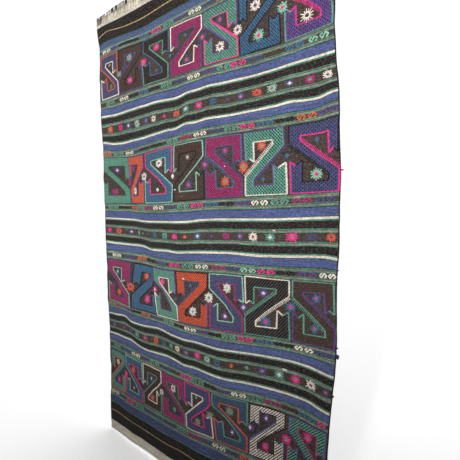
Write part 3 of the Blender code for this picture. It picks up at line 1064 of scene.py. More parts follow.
# %% [markdown]
# ## The hooked figure
#
# The large figure is an S with a hook at each end and a star in each of its two bays. Every
# second one is turned over. It is the stock figure of such rugs, and each weaver spaces it by
# eye. One outline could be stamped on all twenty-nine places, but no two figures are alike. So
# levels are charted once, in shares of the height, and widths are noted for each figure: where
# its top and its foot begin and end, and where its two bays do. Two lines outline it, and each
# runs from one hook's notch to the other's: the outer round the lower bay and the head, the
# inner round the upper bay and the foot. Each corner is a millimetre or two off, because hands
# are.

# %% The figure's chart
BAY_TOP, BAY_POINT, LOWER_POINT, BAY_FOOT = 0.17, 0.24, 0.74, 0.84
HOOK_END, NOTCH_RISE = 0.47, 0.06
LOWER_HOOK_END, LOWER_NOTCH = 0.53, 0.60
LEFT_SIDE_BENDS, RIGHT_SIDE_BENDS = 0.27, 0.70
LOWER_SLOPE = ((0.36, 0.55), (0.65, 0.42))
UPPER_NOTCH_CORNER, LOWER_NOTCH_CORNER = 3, 12
HAND_WOBBLE = 0.0016
hand_dice = np.random.default_rng(41)


def body_outline(figure, top, foot):
    """The figure's closed outline on the flat cloth, starting at the head's outer corner."""
    pairs = (figure.top, figure.foot, figure.upper, figure.lower)
    ends = [np.array(pair[:2]) / 100.0 for pair in pairs]
    bay_top, hook_tip = figure.upper[2:] or (BAY_TOP, HOOK_END)
    notch = hook_tip - NOTCH_RISE
    if figure.hand == "Z":
        ends = [-pair[::-1] for pair in ends]
    top_ends, foot_ends, upper, lower = ends

    def side(level, which):
        """Where the left side (0) or the right side (1) is at a level."""
        return top_ends[which] + (foot_ends[which] - top_ends[which]) * level

    def leaning(place, level, at):
        """A bay's upright leans with the nearer side of the figure."""
        which = 1 if place > (top_ends[0] + top_ends[1]) / 2 else 0
        return place + side(level, which) - side(at, which)

    hook, hook_end = upper[1], leaning(upper[1], hook_tip, bay_top)
    low, low_end = lower[0], leaning(lower[0], LOWER_HOOK_END, BAY_FOOT)
    width = lower[1] - foot_ends[0]
    outline = [
        (side(0, 0), 0.0), (side(0, 1), 0.0), (side(hook_tip, 1), hook_tip),
        ((hook_end + side(notch, 1)) / 2, notch), (hook_end, hook_tip), (hook, bay_top),
        (upper[0], bay_top), (upper[0], BAY_POINT),
        (side(RIGHT_SIDE_BENDS, 1), RIGHT_SIDE_BENDS), (side(1, 1), 1.0),
        (side(1, 0), 1.0), (side(LOWER_HOOK_END, 0), LOWER_HOOK_END),
        ((low_end + side(LOWER_NOTCH, 0)) / 2, LOWER_NOTCH), (low_end, LOWER_HOOK_END),
        (low, BAY_FOOT), (lower[1], BAY_FOOT), (lower[1], LOWER_POINT),
    ]
    outline += [(lower[1] - share * width, level) for share, level in LOWER_SLOPE]
    outline.append((side(LEFT_SIDE_BENDS, 0), LEFT_SIDE_BENDS))
    turned = -1.0 if figure.hand == "Z" else 1.0
    shift = hand_dice.normal(0.0, HAND_WOBBLE, (len(outline), 2))
    return [
        (turned * across + off[0], top + (foot - top) * level + off[1])
        for (across, level), off in zip(outline, shift)
    ]


def inner_line(outline):
    """The part of the outline that runs round the upper bay and the foot."""
    return outline[UPPER_NOTCH_CORNER:LOWER_NOTCH_CORNER + 1]


def outer_line(outline):
    """The part of the outline that runs round the lower bay and the head."""
    return outline[LOWER_NOTCH_CORNER:] + outline[:UPPER_NOTCH_CORNER + 1]


print("the lower hook is", round(BAY_FOOT - LOWER_HOOK_END, 2), "of the figure's height")

# %% [markdown]
# ## Stars
#
# The stars are small rosettes: floats that radiate from a heart of another yarn. A disc would
# be simpler, but its edge would be smooth. The floats close up round the heart, and between
# their thin ends the ground shows, so the edge is ragged. An open star has thinner rays and no
# heart. The smallest are only a lozenge of level floats.

# %% Star
RAYS, FEWER_RAYS = 13, 9
FEWER_RAYS_UP_TO = 0.048
LOZENGE_UP_TO = 0.036
RAY_STARTS = {"open": 0.26, "": 0.02}
HEART_RAY_STARTS = 0.20
RAY_SHARE, SHORT_RAY = 0.54, 0.84
CORE_SHARE, CORE_WIDER = 0.60, 1.05
OPEN_SHARE = 0.66
WIDENS_UP_TO = 0.8
RAY_SWAY, RAY_UNEVEN = 0.03, (0.93, 1.07)
HEART_WIDTH, HEART_HEIGHT, HEART_RISE = 0.46, 0.48, 1.35
LOZENGE_ROW, LOZENGE_COVER, LOZENGE_SLANT = 0.0052, 0.55, 0.3
LOZENGE_NARROWS = 0.80


def lozenge(across, down, width, height, yarn, rise):
    """A few level floats, the middle ones longest."""
    rows = max(3, int(round(height / LOZENGE_ROW)))
    stitches = []
    for k in range(rows):
        off = (k + 0.5) / rows * 2.0 - 1.0
        half = width / 2 * (1.0 - LOZENGE_NARROWS * abs(off))
        tall = height / rows * LOZENGE_COVER
        at = (across, down + off * height / 2)
        stitches.append(stitch(*at, half, tall, yarn, rise, 0.0, LOZENGE_SLANT))
    return stitches


def star(across, down, width, height, ray, heart, rise=0.0020):
    """A rosette of a width and a height in metres."""
    if width < LOZENGE_UP_TO:
        return lozenge(across, down, width, height, ray, rise)
    stitches = []
    near = RAY_STARTS.get(heart, HEART_RAY_STARTS)
    stout = OPEN_SHARE if heart == "open" else 1.0
    rays = RAYS if width > FEWER_RAYS_UP_TO else FEWER_RAYS
    girth = math.pi * (width + height) / 2 / rays
    for k in range(rays):
        angle = math.tau * (k + 0.5) / rays + yarn_dice.normal(0.0, RAY_SWAY)
        far = (1.0 if k % 2 else SHORT_RAY) * yarn_dice.uniform(*RAY_UNEVEN)
        reach = math.hypot(width / 2 * math.cos(angle), height / 2 * math.sin(angle))
        for begin, end, share in ((near, CORE_SHARE, CORE_WIDER), (near, far, RAY_SHARE)):
            middle, half = reach * (begin + end) / 2, reach * (end - begin) / 2
            at = (across + middle * math.cos(angle), down + middle * math.sin(angle))
            wide = stout * girth * share * min(end, WIDENS_UP_TO) / 2
            stitches.append(stitch(*at, half, wide, ray, rise, angle))
    if heart and heart != "open":
        heart_size = (width * HEART_WIDTH, height * HEART_HEIGHT)
        stitches += lozenge(across, down, *heart_size, heart, rise * HEART_RISE)
    return stitches


print("a large star has", 2 * RAYS, "floats round its heart")

# %% [markdown]
# ## The four rows of figures
#
# The figures could follow a rule, but the weaver followed none in widths, colours or textures,
# so each is written down. One entry of the table is one figure, from left to right. First its
# hand, S or Z. Then four pairs of ends, in centimetres from the middle of the cloth: of its top,
# of its foot, of its upper bay and of its lower bay. Two upper bays have two more numbers, the
# levels of the bay's top and of its hook's end, where these aren't those of the chart. Then the
# yarns of the body and of the outer and inner line, and the texture. Last the stars, with the
# one that stands between this figure and the next: each a place as noted on the cloth, a width,
# a height, and the yarns of its rays and heart. SLANTS lists the figures, counted from 0, whose
# lines are thick or toothed on the slant.

# %% The table of figures
Figure = namedtuple("Figure", "hand top foot upper lower body outer inner texture stars")
Spot = namedtuple("Spot", "across below width height ray heart")
FIGURES = {
    "row 1": (
        Figure(
            "S", (-90.9, -70.4), (-89.6, -68.4), (-85.0, -75.4), (-82.6, -73.3),
            "navy", "orange", "cream", "plain",
            (Spot(-79.5, 29.8, 3.5, 2.2, "tan", ""), Spot(-77.5, 46.0, 4.4, 4.0, "leaf", "magenta"),
             Spot(-67.3, 39.5, 7.0, 4.4, "green", "pink")),
        ),
        Figure(
            "Z", (-67.8, -42.8), (-66.8, -42.0), (-61.4, -49.6), (-60.5, -48.5),
            "brown", "dark", "purple", "plain",
            (Spot(-55.8, 30.8, 7.0, 5.4, "green", "pink"), Spot(-54.8, 47.0, 7.0, 5.4, "pink", "green"),
             Spot(-40.3, 38.3, 7.0, 5.4, "pink", "green")),
        ),
        Figure(
            "S", (-41.6, -16.0), (-40.0, -16.4), (-34.9, -21.7), (-33.3, -21.9),
            "black", "petrol", "green", "plain",
            (Spot(-27.7, 31.7, 7.0, 5.0, "pink", "green"), Spot(-27.3, 47.0, 2.7, 2.4, "petrol", ""),
             Spot(-14.5, 41.0, 2.7, 2.4, "petrol", "")),
        ),
        Figure(
            "Z", (-14.2, 11.8), (-13.9, 12.0), (-7.6, 6.2), (-6.5, 5.9),
            "magenta", "cream", "navy", "dense",
            (Spot(-1.3, 32.2, 3.8, 2.0, "petrol", ""), Spot(-0.2, 47.5, 7.8, 5.4, "navy", "orange"),
             Spot(12.7, 38.0, 8.4, 6.6, "navy", "orange")),
        ),
        Figure(
            "S", (13.5, 37.0), (14.3, 38.2), (19.5, 31.0), (20.2, 32.3),
            "green", "purple", "pink", "fine",
            (Spot(25.8, 32.0, 6.6, 6.0, "navy", "orange"), Spot(26.0, 47.3, 7.2, 6.0, "cream", "navy"),
             Spot(38.2, 41.8, 6.8, 5.6, "cream", "navy")),
        ),
        Figure(
            "Z", (38.7, 63.2), (40.0, 65.0), (44.0, 57.8), (45.6, 58.4),
            "petrol", "dark", "dark", "fine",
            (Spot(49.7, 32.7, 7.6, 5.8, "cream", "navy"), Spot(51.7, 49.0, 7.2, 6.6, "mint", "pink"),
             Spot(65.8, 39.6, 6.6, 5.6, "mint", "pink")),
        ),
        Figure(
            "S", (67.0, 91.0), (67.5, 91.4), (73.0, 86.5), (73.3, 85.6),
            "purple", "pink", "green", "faint",
            (Spot(79.0, 33.0, 6.0, 5.0, "green", "pink"), Spot(78.9, 48.0, 7.6, 6.4, "cream", "open")),
        ),
    ),
    "row 2": (
        Figure(
            "S", (-91.8, -68.2), (-92.0, -64.9), (-88.0, -71.2), (-88.5, -71.0),
            "green", "leaf", "leaf", "plain",
            (Spot(-79.0, 107.3, 7.0, 5.0, "purple", "cream"),
             Spot(-81.3, 123.3, 8.0, 4.0, "magenta", "navy"),
             Spot(-65.3, 117.2, 4.2, 5.6, "magenta", "navy")),
        ),
        Figure(
            "Z", (-67.8, -44.6), (-63.0, -42.8), (-64.3, -53.0), (-60.2, -50.7),
            "orange", "purple", "navy", "plain",
            (Spot(-61.3, 107.7, 6.5, 4.0, "magenta", "navy"),
             Spot(-57.3, 124.0, 5.5, 6.0, "cream", "tan"),
             Spot(-42.8, 115.3, 7.5, 5.6, "cream", "navy")),
        ),
        Figure(
            "S", (-41.8, -14.8), (-40.8, -14.4), (-34.8, -21.0), (-35.2, -20.4),
            "petrol", "pink", "mint", "plain",
            (Spot(-26.7, 108.0, 7.0, 5.4, "cream", "petrol"), Spot(-28.0, 125.2, 3.0, 2.2, "cream", ""),
             Spot(-14.0, 117.5, 2.6, 3.0, "cream", "")),
        ),
        Figure(
            "Z", (-12.9, 10.4), (-12.8, 12.6), (-8.6, 5.5), (-8.0, 6.2),
            "brown", "mint", "dark", "plain",
            (Spot(-1.3, 106.8, 3.8, 3.2, "tan", "cream"),
             Spot(-0.3, 123.8, 6.4, 4.8, "purple", "orange"),
             Spot(12.8, 112.8, 6.6, 5.2, "purple", "orange")),
        ),
        Figure(
            "S", (13.0, 38.4), (13.8, 39.5), (20.4, 33.0), (21.3, 33.8),
            "magenta", "petrol", "navy", "dense",
            (Spot(27.5, 106.6, 6.0, 5.0, "purple", "orange"),
             Spot(27.8, 123.8, 6.2, 6.0, "orange", "green"),
             Spot(40.1, 117.0, 6.6, 6.8, "orange", "green")),
        ),
        Figure(
            "Z", (40.5, 64.2), (41.5, 66.3), (46.5, 58.0), (46.6, 58.5),
            "green", "purple", "cream", "dotted",
            (Spot(51.6, 107.0, 6.0, 5.0, "orange", "green"), Spot(52.4, 124.4, 2.5, 2.3, "petrol", ""),
             Spot(66.1, 113.8, 2.8, 2.3, "petrol", "")),
        ),
        Figure(
            "S", (67.2, 91.6), (68.2, 91.7), (73.3, 87.2), (74.3, 87.0),
            "navy", "dark", "pink", "faint",
            (Spot(81.5, 108.0, 2.5, 2.5, "petrol", ""), Spot(81.3, 124.2, 6.6, 6.0, "mint", "pink")),
        ),
    ),
    "row 3": (
        Figure(
            "S", (-90.4, -63.7), (-89.6, -62.2), (-83.8, -73.2), (-82.2, -70.2),
            "magenta", "navy", "mint", "plain",
            (Spot(-78.0, 183.3, 4.4, 5.0, "petrol", "cream"),
             Spot(-76.0, 198.5, 6.0, 5.0, "orange", "orange"),
             Spot(-61.5, 193.0, 10.5, 5.2, "orange", "navy")),
        ),
        Figure(
            "Z", (-60.2, -38.8), (-59.6, -31.2), (-50.8, -41.5), (-50.2, -36.2),
            "petrol", "dark", "dark", "plain",
            (Spot(-45.3, 184.3, 6.4, 5.4, "orange", "tan"),
             Spot(-42.0, 199.5, 7.0, 6.0, "pink", "green"),
             Spot(-34.3, 192.0, 5.5, 4.5, "pink", "cream")),
        ),
        Figure(
            "S", (-39.2, -14.0), (-30.2, -9.1), (-30.2, -19.8), (-26.2, -16.0),
            "green", "purple", "cream", "plain",
            (Spot(-26.3, 185.8, 7.4, 4.8, "pink", "green"), Spot(-21.0, 200.0, 4.5, 3.5, "brown", ""),
             Spot(-11.7, 195.2, 2.8, 2.3, "petrol", "")),
        ),
        Figure(
            "Z", (-12.2, 14.5), (-8.4, 15.7), (-4.8, 8.4), (-2.7, 10.1),
            "orange", "dark", "navy", "dense",
            (Spot(1.0, 185.3, 2.5, 2.3, "petrol", ""), Spot(3.6, 200.8, 6.6, 5.6, "cream", "green"),
             Spot(16.3, 190.8, 7.0, 6.0, "cream", "green")),
        ),
        Figure(
            "S", (16.4, 39.3), (17.6, 40.9), (23.3, 33.9), (23.3, 34.0),
            "navy", "mint", "magenta", "plain",
            (Spot(29.2, 183.8, 6.2, 5.6, "cream", "mint"),
             Spot(28.5, 199.8, 5.8, 5.0, "purple", "cream"),
             Spot(40.5, 193.2, 5.8, 5.2, "purple", "cream")),
        ),
        Figure(
            "Z", (41.2, 67.3), (42.4, 67.7), (46.9, 60.3), (48.3, 60.9),
            "dark", "cream", "green", "twill",
            (Spot(52.8, 184.0, 6.8, 4.4, "purple", "cream"),
             Spot(54.5, 198.8, 7.0, 5.2, "petrol", "pink"),
             Spot(68.5, 189.3, 6.8, 5.2, "petrol", "pink")),
        ),
        Figure(
            "S", (69.6, 91.1), (69.7, 91.4), (75.3, 86.4), (75.5, 86.8),
            "brown", "green", "purple", "plain",
            (Spot(82.2, 183.4, 5.4, 4.8, "petrol", "pink"),
             Spot(81.5, 198.0, 5.4, 4.8, "petrol", "orange")),
        ),
    ),
    "row 4": (
        Figure(
            "Z", (-91.0, -71.4), (-90.8, -70.6), (-86.4, -75.8), (-86.2, -75.6),
            "green", "navy", "orange", "plain",
            (Spot(-81.5, 252.5, 4.6, 4.4, "cream", "navy"),
             Spot(-80.5, 265.5, 5.4, 5.0, "pink", "green"),
             Spot(-70.0, 258.5, 5.4, 5.0, "pink", "green")),
        ),
        Figure(
            "S", (-69.8, -49.2), (-69.0, -48.2), (-65.0, -54.2), (-64.2, -53.0),
            "petrol", "mint", "pink", "plain",
            (Spot(-59.5, 252.5, 5.4, 5.0, "orange", "green"),
             Spot(-59.0, 265.5, 4.6, 4.4, "purple", "cream"),
             Spot(-48.0, 258.5, 5.4, 5.0, "purple", "cream")),
        ),
        Figure(
            "Z", (-47.6, -27.4), (-46.6, -26.2), (-42.4, -32.0), (-41.4, -31.4),
            "brown", "cream", "green", "plain",
            (Spot(-37.6, 252.8, 4.8, 4.4, "purple", "cream"),
             Spot(-36.6, 266.0, 5.4, 5.0, "orange", "green"),
             Spot(-26.4, 258.8, 4.6, 4.4, "cream", "navy")),
        ),
        Figure(
            "S", (-26.4, -5.2), (-24.8, -2.8), (-20.6, -10.2), (-18.6, -6.5),
            "magenta", "navy", "leaf", "plain",
            (Spot(-14.3, 252.8, 5.2, 5.6, "cream", "navy"), Spot(-13.0, 266.0, 3.4, 3.0, "green", ""),
             Spot(-1.5, 258.7, 2.4, 2.2, "green", "")),
        ),
        Figure(
            "Z", (-3.7, 17.4), (-1.5, 21.0), (2.7, 12.3), (2.7, 13.6),
            "navy", "pink", "cream", "plain",
            (Spot(6.8, 252.3, 2.4, 2.2, "green", ""), Spot(8.2, 266.7, 5.6, 5.0, "green", "orange"),
             Spot(18.2, 259.5, 7.0, 4.4, "green", "orange")),
        ),
        Figure(
            "S", (19.1, 44.8), (23.4, 44.4), (25.2, 38.8), (29.2, 40.0),
            "teal", "green", "orange", "plain",
            (Spot(32.8, 253.0, 6.2, 4.8, "green", "orange"),
             Spot(34.8, 264.3, 5.4, 4.6, "purple", "cream"),
             Spot(46.8, 257.5, 5.6, 5.0, "purple", "cream")),
        ),
        Figure(
            "Z", (46.8, 67.4), (46.3, 67.0), (52.4, 62.3, 0.115, 0.375), (51.3, 61.6),
            "cream", "dark", "navy", "slashed",
            (Spot(56.5, 249.8, 4.6, 4.2, "purple", "cream"),
             Spot(56.3, 265.0, 4.8, 5.0, "pink", "green"), Spot(68.7, 257.2, 6.2, 5.0, "pink", "green")),
        ),
        Figure(
            "S", (70.2, 91.0), (69.0, 90.8), (75.6, 86.7, 0.145, 0.47), (75.0, 86.0),
            "green", "purple", "magenta", "slashed",
            (Spot(81.5, 251.0, 5.8, 5.2, "pink", "green"), Spot(80.5, 265.5, 5.6, 5.0, "pink", "green")),
        ),
    ),
}
SLANTS = {
    ("row 1", 4): "thick", ("row 1", 6): "toothed",
    ("row 2", 4): "toothed", ("row 2", 5): "toothed", ("row 2", 6): "toothed",
    ("row 3", 3): "toothed", ("row 3", 5): "toothed", ("row 3", 6): "toothed",
    ("row 4", 6): "thick", ("row 4", 7): "toothed",
}
print(sum(len(row) for row in FIGURES.values()), "hooked figures")

# %% [markdown]
# ## Laying in the rows
#
# Each figure is filled, then outlined, then given its stars, and each row becomes two pieces:
# one of fill and one of lines and stars. Each figure could be a piece of its own, but a row is
# what the weaver finishes at one go. Cream in a line is wider, as it is on the cloth, where the
# undyed yarn is thicker.

# %% Figures, row by row
CREAM_IS_WIDER = 1.12
REVERSE_HEIGHT = 0.0012


def figure_lines(figure, outline, height, slant=""):
    """The two lines and the stars of a figure."""
    stitches = []
    away = 1.0 if figure.hand == "S" else -1.0
    for path, yarn in ((outer_line(outline), figure.outer), (inner_line(outline), figure.inner)):
        width = LINE_WIDTH * (CREAM_IS_WIDER if yarn == "cream" else 1.0)
        stitches += line(path, yarn, width, height, slant, away)
    for spot in figure.stars:
        down = level_under(spot.across, spot.below)
        size = (spot.width / 100, spot.height / 100)
        stitches += star(spot.across / 100, down, *size, spot.ray, spot.heart, height)
    return stitches


sewn, reverse = [], []
for row_name, figures in FIGURES.items():
    top, foot = SPAN[row_name][0] + ROW_LINE_IN, SPAN[row_name][1] - ROW_LINE_IN
    fills, lines = [], []
    for number, figure in enumerate(figures):
        outline = body_outline(figure, top, foot)
        fills += fill(outline, figure.body, figure.texture)
        slant = SLANTS.get((row_name, number), "")
        lines += figure_lines(figure, outline, LINE_HEIGHT, slant)
        reverse += fill(outline, figure.body, "reverse")
        reverse += figure_lines(figure, outline, REVERSE_HEIGHT)
    title = row_name.replace(" ", "_")
    sewn.append(sew(f"fill_{title}", fills))
    sewn.append(sew(f"lines_{title}", lines))

# %% [markdown]
# ## Pairs of small figures
#
# The narrow dark bands carry a small lying S, twice in each colour, then the next colour. It
# could be filled like the large ones, but it is only a few wefts high, so it is drawn in five
# slanting strokes, charted in shares of its width and height. Where the yarn is as dark as the
# ground the pair hardly shows, and such places are listed too, so that the spacing stays right.
# Where a selvedge leaves no room for two, there is one, nearer the middle of the cloth.

# %% Small pairs
LYING_S = ((0.32, 0.06), (0.03, 0.44), (0.28, 0.96), (0.64, 0.04), (0.97, 0.50), (0.70, 0.94))
PAIRS = {
    "pairs 1": (
        (-83.5, "cream"), (-73, "purple"), (-62, "dark"), (-52, "dark"), (-41.5, "petrol"),
        (-28.5, "pink"), (-16.5, "green"), (-5.5, "purple"), (6.5, "cream"), (17, "navy"),
        (28, "orange"), (39, "green"), (50, "magenta"), (61, "dark"), (72, "petrol"), (84, "cream"),
    ),
    "pairs 2": (
        (-80, "green"), (-63, "cream"), (-52, "dark"), (-41, "petrol"), (-30, "dark"), (-18.3, "green"),
        (-5.8, "navy"), (5.2, "cream"), (17, "purple"), (28, "green"), (38.3, "pink"), (49, "navy"),
        (60, "brown"), (72, "petrol"), (84.5, "mint"),
    ),
    "pairs 3": (
        (-88, "orange"), (-77, "green"), (-64.4, "cream"), (-53.5, "navy"), (-43, "dark"),
        (-30, "dark"), (-14.5, "green"), (-3, "magenta"), (8.6, "cream"), (21, "navy"), (32, "green"),
        (42.2, "pink"), (53.5, "petrol"), (65, "dark"), (76.5, "orange"), (87, "purple"),
    ),
    "pairs 4": (
        (-84, "green"), (-73, "dark"), (-58.5, "orange"), (-48, "green"), (-38.5, "magenta"),
        (-27.5, "cream"), (-15.5, "navy"), (-5, "green"), (6.3, "pink"), (17.5, "petrol"), (28, "dark"),
        (39.5, "purple"), (50.3, "cream"), (62, "green"), (74, "magenta"), (85.6, "navy"),
    ),
    "pairs 5": (
        (-79.4, "cream"), (-65.5, "purple"), (-52.4, "orange"), (-41, "dark"), (-26.6, "petrol"),
        (-13.3, "pink"), (-1.6, "green"), (10, "cream"), (22.5, "magenta"), (33, "navy"), (43, "mint"),
        (54, "pink"), (65.5, "dark"), (77.5, "purple"), (87.9, "cream"),
    ),
    "pairs 6": (
        (-87, "gold"), (-76, "magenta"), (-65, "purple"), (-54, "dark"), (-43, "orange"), (-31, "navy"),
        (-18.3, "green"), (-8, "dark"), (1.5, "cream"), (11.5, "purple"), (21.5, "dark"), (31, "green"),
        (42.2, "pink"), (54, "petrol"), (65, "dark"), (76, "cream"), (86.5, "navy"),
    ),
    "pairs 7": (
        (-82, "green"), (-68, "petrol"), (-56, "cream"), (-45, "purple"), (-34, "green"), (-22, "navy"),
        (-2, "pink"), (8, "green"), (18, "dark"), (28, "purple"), (38.7, "cream"), (49.5, "leaf"),
        (60, "magenta"), (70, "brown"), (80.3, "petrol"), (90, "pink"),
    ),
    "pairs 8": (
        (-86, "cream"), (-75, "navy"), (-64, "pink"), (-52, "green"), (-40, "purple"), (-28, "petrol"),
        (-16, "navy"), (-5.5, "green"), (4.5, "magenta"), (14.8, "purple"), (25.3, "cream"),
        (34.8, "navy"), (45, "orange"), (56, "green"), (67, "magenta"), (77, "petrol"), (87, "cream"),
    ),
}
print(sum(len(pairs) for pairs in PAIRS.values()), "pairs")

# %% [markdown]
# ## Laying in the pairs
#
# Each stroke is one float, a little longer than the way between its two places, so that it
# overlaps the next. At the selvedge a pair is squeezed into the room that is left.

# %% The pairs, band by band
S_LENGTH, S_APART = 0.046, 0.055
STROKE, STROKE_HEIGHT = 0.0076, 0.0016
STROKE_OVERLAP = 0.0012
TOO_TIGHT = 0.6
BOTH, INWARDS = (-0.5, 0.5), -0.3
small = []
for band_name, pairs in PAIRS.items():
    top, foot = SPAN[band_name]
    for middle, yarn in pairs:
        room = HALF_WIDTH - SELVEDGE - abs(middle / 100)
        squeeze = min(1.0, 2 * room / (S_LENGTH + S_APART))
        places = BOTH
        if squeeze < TOO_TIGHT:
            places, squeeze = (INWARDS * math.copysign(1, middle),), 1.0
        for k in places:
            left = middle / 100 + (k * S_APART - S_LENGTH / 2) * squeeze
            path = [(left + S_LENGTH * squeeze * x, top + (foot - top) * y) for x, y in LYING_S]
            for (u, v), (next_u, next_v) in zip(path, path[1:]):
                over, below = next_u - u, next_v - v
                half = math.hypot(over, below) / 2 + STROKE_OVERLAP
                turn = math.atan2(below, over)
                at = (u + over / 2, v + below / 2)
                small.append(stitch(*at, half, STROKE / 2, yarn, STROKE_HEIGHT, turn))
sewn.append(sew("small_pairs", small))

# %% [markdown]
# ## The rows of stars
#
# Down the middle of each striped band runs a row of stars, about a hand's breadth apart, in no
# strict order of colour. An even row would look printed, so each is noted: a place in
# centimetres from the middle, a width, a height and two yarns. Once they were laid in, they
# stood a little too narrow and too tall, and WIDER and LOWER set that right for all of them.

# %% Star rows
STAR_ROWS = {
    "stars 1": (
        (-82.8, 6.5, 5.0, "orange", "green"), (-71.5, 5.0, 5.0, "pink", "navy"),
        (-61.9, 7.0, 5.2, "blue", "cream"), (-50.4, 7.8, 5.3, "mint", "pink"),
        (-39.4, 6.0, 5.4, "purple", "green"), (-31.6, 5.4, 5.2, "cream", "open"),
        (-21.2, 2.8, 2.6, "pink", ""), (-10.6, 6.0, 4.8, "orange", "navy"),
        (-2.4, 6.4, 4.8, "green", "cream"), (8.4, 6.2, 4.8, "pink", "green"),
        (19.4, 6.2, 4.8, "petrol", "open"), (29.8, 2.2, 2.0, "purple", ""),
        (38.8, 5.6, 4.6, "purple", "gold"), (49.2, 6.6, 4.8, "orange", "navy"),
        (58.4, 6.8, 5.0, "mint", "pink"), (68.4, 5.8, 4.6, "navy", "cream"),
        (79.2, 6.0, 5.0, "magenta", "green"), (87.9, 5.2, 4.8, "cream", "navy"),
    ),
    "stars 2": (
        (-87.7, 5.0, 5.0, "pink", "pink"), (-77.7, 6.5, 5.0, "orange", "navy"),
        (-65.2, 6.0, 5.0, "purple", "cream"), (-56.3, 3.0, 5.0, "green", ""),
        (-49.9, 3.0, 2.2, "tan", ""), (-42.1, 3.0, 2.2, "petrol", ""),
        (-31.9, 6.0, 4.8, "petrol", "open"), (-21.7, 6.0, 5.0, "green", "teal"),
        (-12.8, 5.4, 5.0, "pink", "tan"), (-3.9, 3.5, 2.4, "orange", ""),
        (6.7, 6.0, 5.0, "petrol", "cream"), (17.3, 3.0, 2.4, "purple", ""),
        (28.3, 6.5, 5.0, "magenta", "navy"), (37.6, 5.0, 5.2, "purple", "gold"),
        (46.2, 6.2, 5.6, "cream", "magenta"), (56.7, 6.5, 5.6, "green", "cream"),
        (68.9, 7.2, 5.2, "pink", "tan"), (79.4, 6.4, 5.0, "navy", "open"),
        (88.6, 5.2, 5.2, "orange", "purple"),
    ),
    "stars 3": (
        (-85.2, 6.5, 4.4, "purple", "green"), (-70.8, 3.4, 3.0, "magenta", ""),
        (-61.3, 4.2, 4.6, "navy", "purple"), (-54.0, 5.0, 5.0, "green", "leaf"),
        (-44.3, 7.5, 4.8, "magenta", "green"), (-31.7, 6.5, 4.8, "orange", "navy"),
        (-23.0, 5.4, 4.8, "petrol", "open"), (-16.0, 4.2, 4.6, "green", ""),
        (-10.0, 4.8, 5.0, "cream", "magenta"), (-2.1, 6.0, 4.4, "purple", "gold"),
        (7.8, 5.8, 4.8, "pink", "green"), (15.6, 5.4, 5.0, "mint", "magenta"),
        (23.3, 5.6, 4.8, "petrol", "open"), (33.4, 3.0, 2.6, "orange", ""),
        (43.7, 2.6, 2.2, "green", ""), (53.4, 5.8, 4.8, "purple", "gold"),
        (63.1, 6.4, 5.2, "green", "cream"), (72.3, 6.0, 4.8, "pink", "green"),
        (81.0, 6.0, 5.2, "cream", "navy"), (89.0, 4.8, 4.4, "navy", "orange"),
    ),
}
WIDER, LOWER = 1.05, 0.82
stars = []
for band_name, row in STAR_ROWS.items():
    middle = sum(SPAN[band_name]) / 2
    for across, width, height, ray, heart in row:
        stars += star(across / 100, middle, WIDER * width / 100, LOWER * height / 100, ray, heart)
sewn.append(sew("star_rows", stars))

# %% [markdown]
# ## Flecks
#
# A used rug has small accidents: a tuft of cream wool that worked its way out, a knot, a float
# that was mended in the wrong colour. Chance could strew them, but a few in known places look
# more like wear. Each is two crossed stitches, the second one shorter.

# %% Flecks
Fleck = namedtuple("Fleck", "across below length yarn")
FLECKS = (
    Fleck(66.0, 221.9, 2.6, "cream"), Fleck(59.0, 151.2, 1.7, "cream"), Fleck(-5.2, 181.8, 2.4, "cream"),
    Fleck(22.6, 177.0, 1.4, "tan"), Fleck(-12.0, 126.2, 1.8, "cream"), Fleck(-14.2, 124.8, 0.9, "tan"),
    Fleck(27.4, 115.2, 0.9, "cream"), Fleck(70.9, 157.4, 0.8, "orange"), Fleck(79.6, 62.4, 0.9, "magenta"),
    Fleck(-6.0, 130.6, 1.0, "tan"), Fleck(6.0, 191.5, 0.8, "tan"), Fleck(-24.0, 88.6, 0.8, "cream"),
    Fleck(-70.0, 152.0, 1.4, "tan"), Fleck(35.0, 236.5, 0.7, "green"), Fleck(-37.0, 226.0, 0.9, "tan"),
)
FLECK_HALF_WIDTH, FLECK_HEIGHT = 0.0026, 0.0030
CROSSED = ((0.25, 1.0), (-0.5, 0.6))
flecks = []
for fleck in FLECKS:
    across, down = fleck.across / 100, level_under(fleck.across, fleck.below)
    for turn, share in CROSSED:
        half = fleck.length * share / 200
        flecks.append(stitch(across, down, half, FLECK_HALF_WIDTH, fleck.yarn, FLECK_HEIGHT, turn))
sewn.append(sew("flecks", flecks))

# %% [markdown]
# ## The reverse
#
# Turned over, the rug shows the same stripes and, where figures are, the other side of their
# floats, longer and flatter. The back could be left plain, as few will see it. But the floats
# were laid with the figures above, at twice the stitch, so it is a true back and not a blank.

# %% Back of the figures
sewn.append(sew("reverse_figures", reverse, side=-1.0))

# %% [markdown]
# ## Yarns as tubes
#
# Yarn that hangs free can't be a flat stitch. Blender's curves could draw it, but thousands of
# them are slow. So it is a thin tube with three sides, gathered with others into one mesh. A
# tube is laid round its path in level rings, or in upright ones where the yarn runs sideways.

# %% Tubes
SIDES = 3
TWIST = 2.5
FLAT_REACH = 0.07


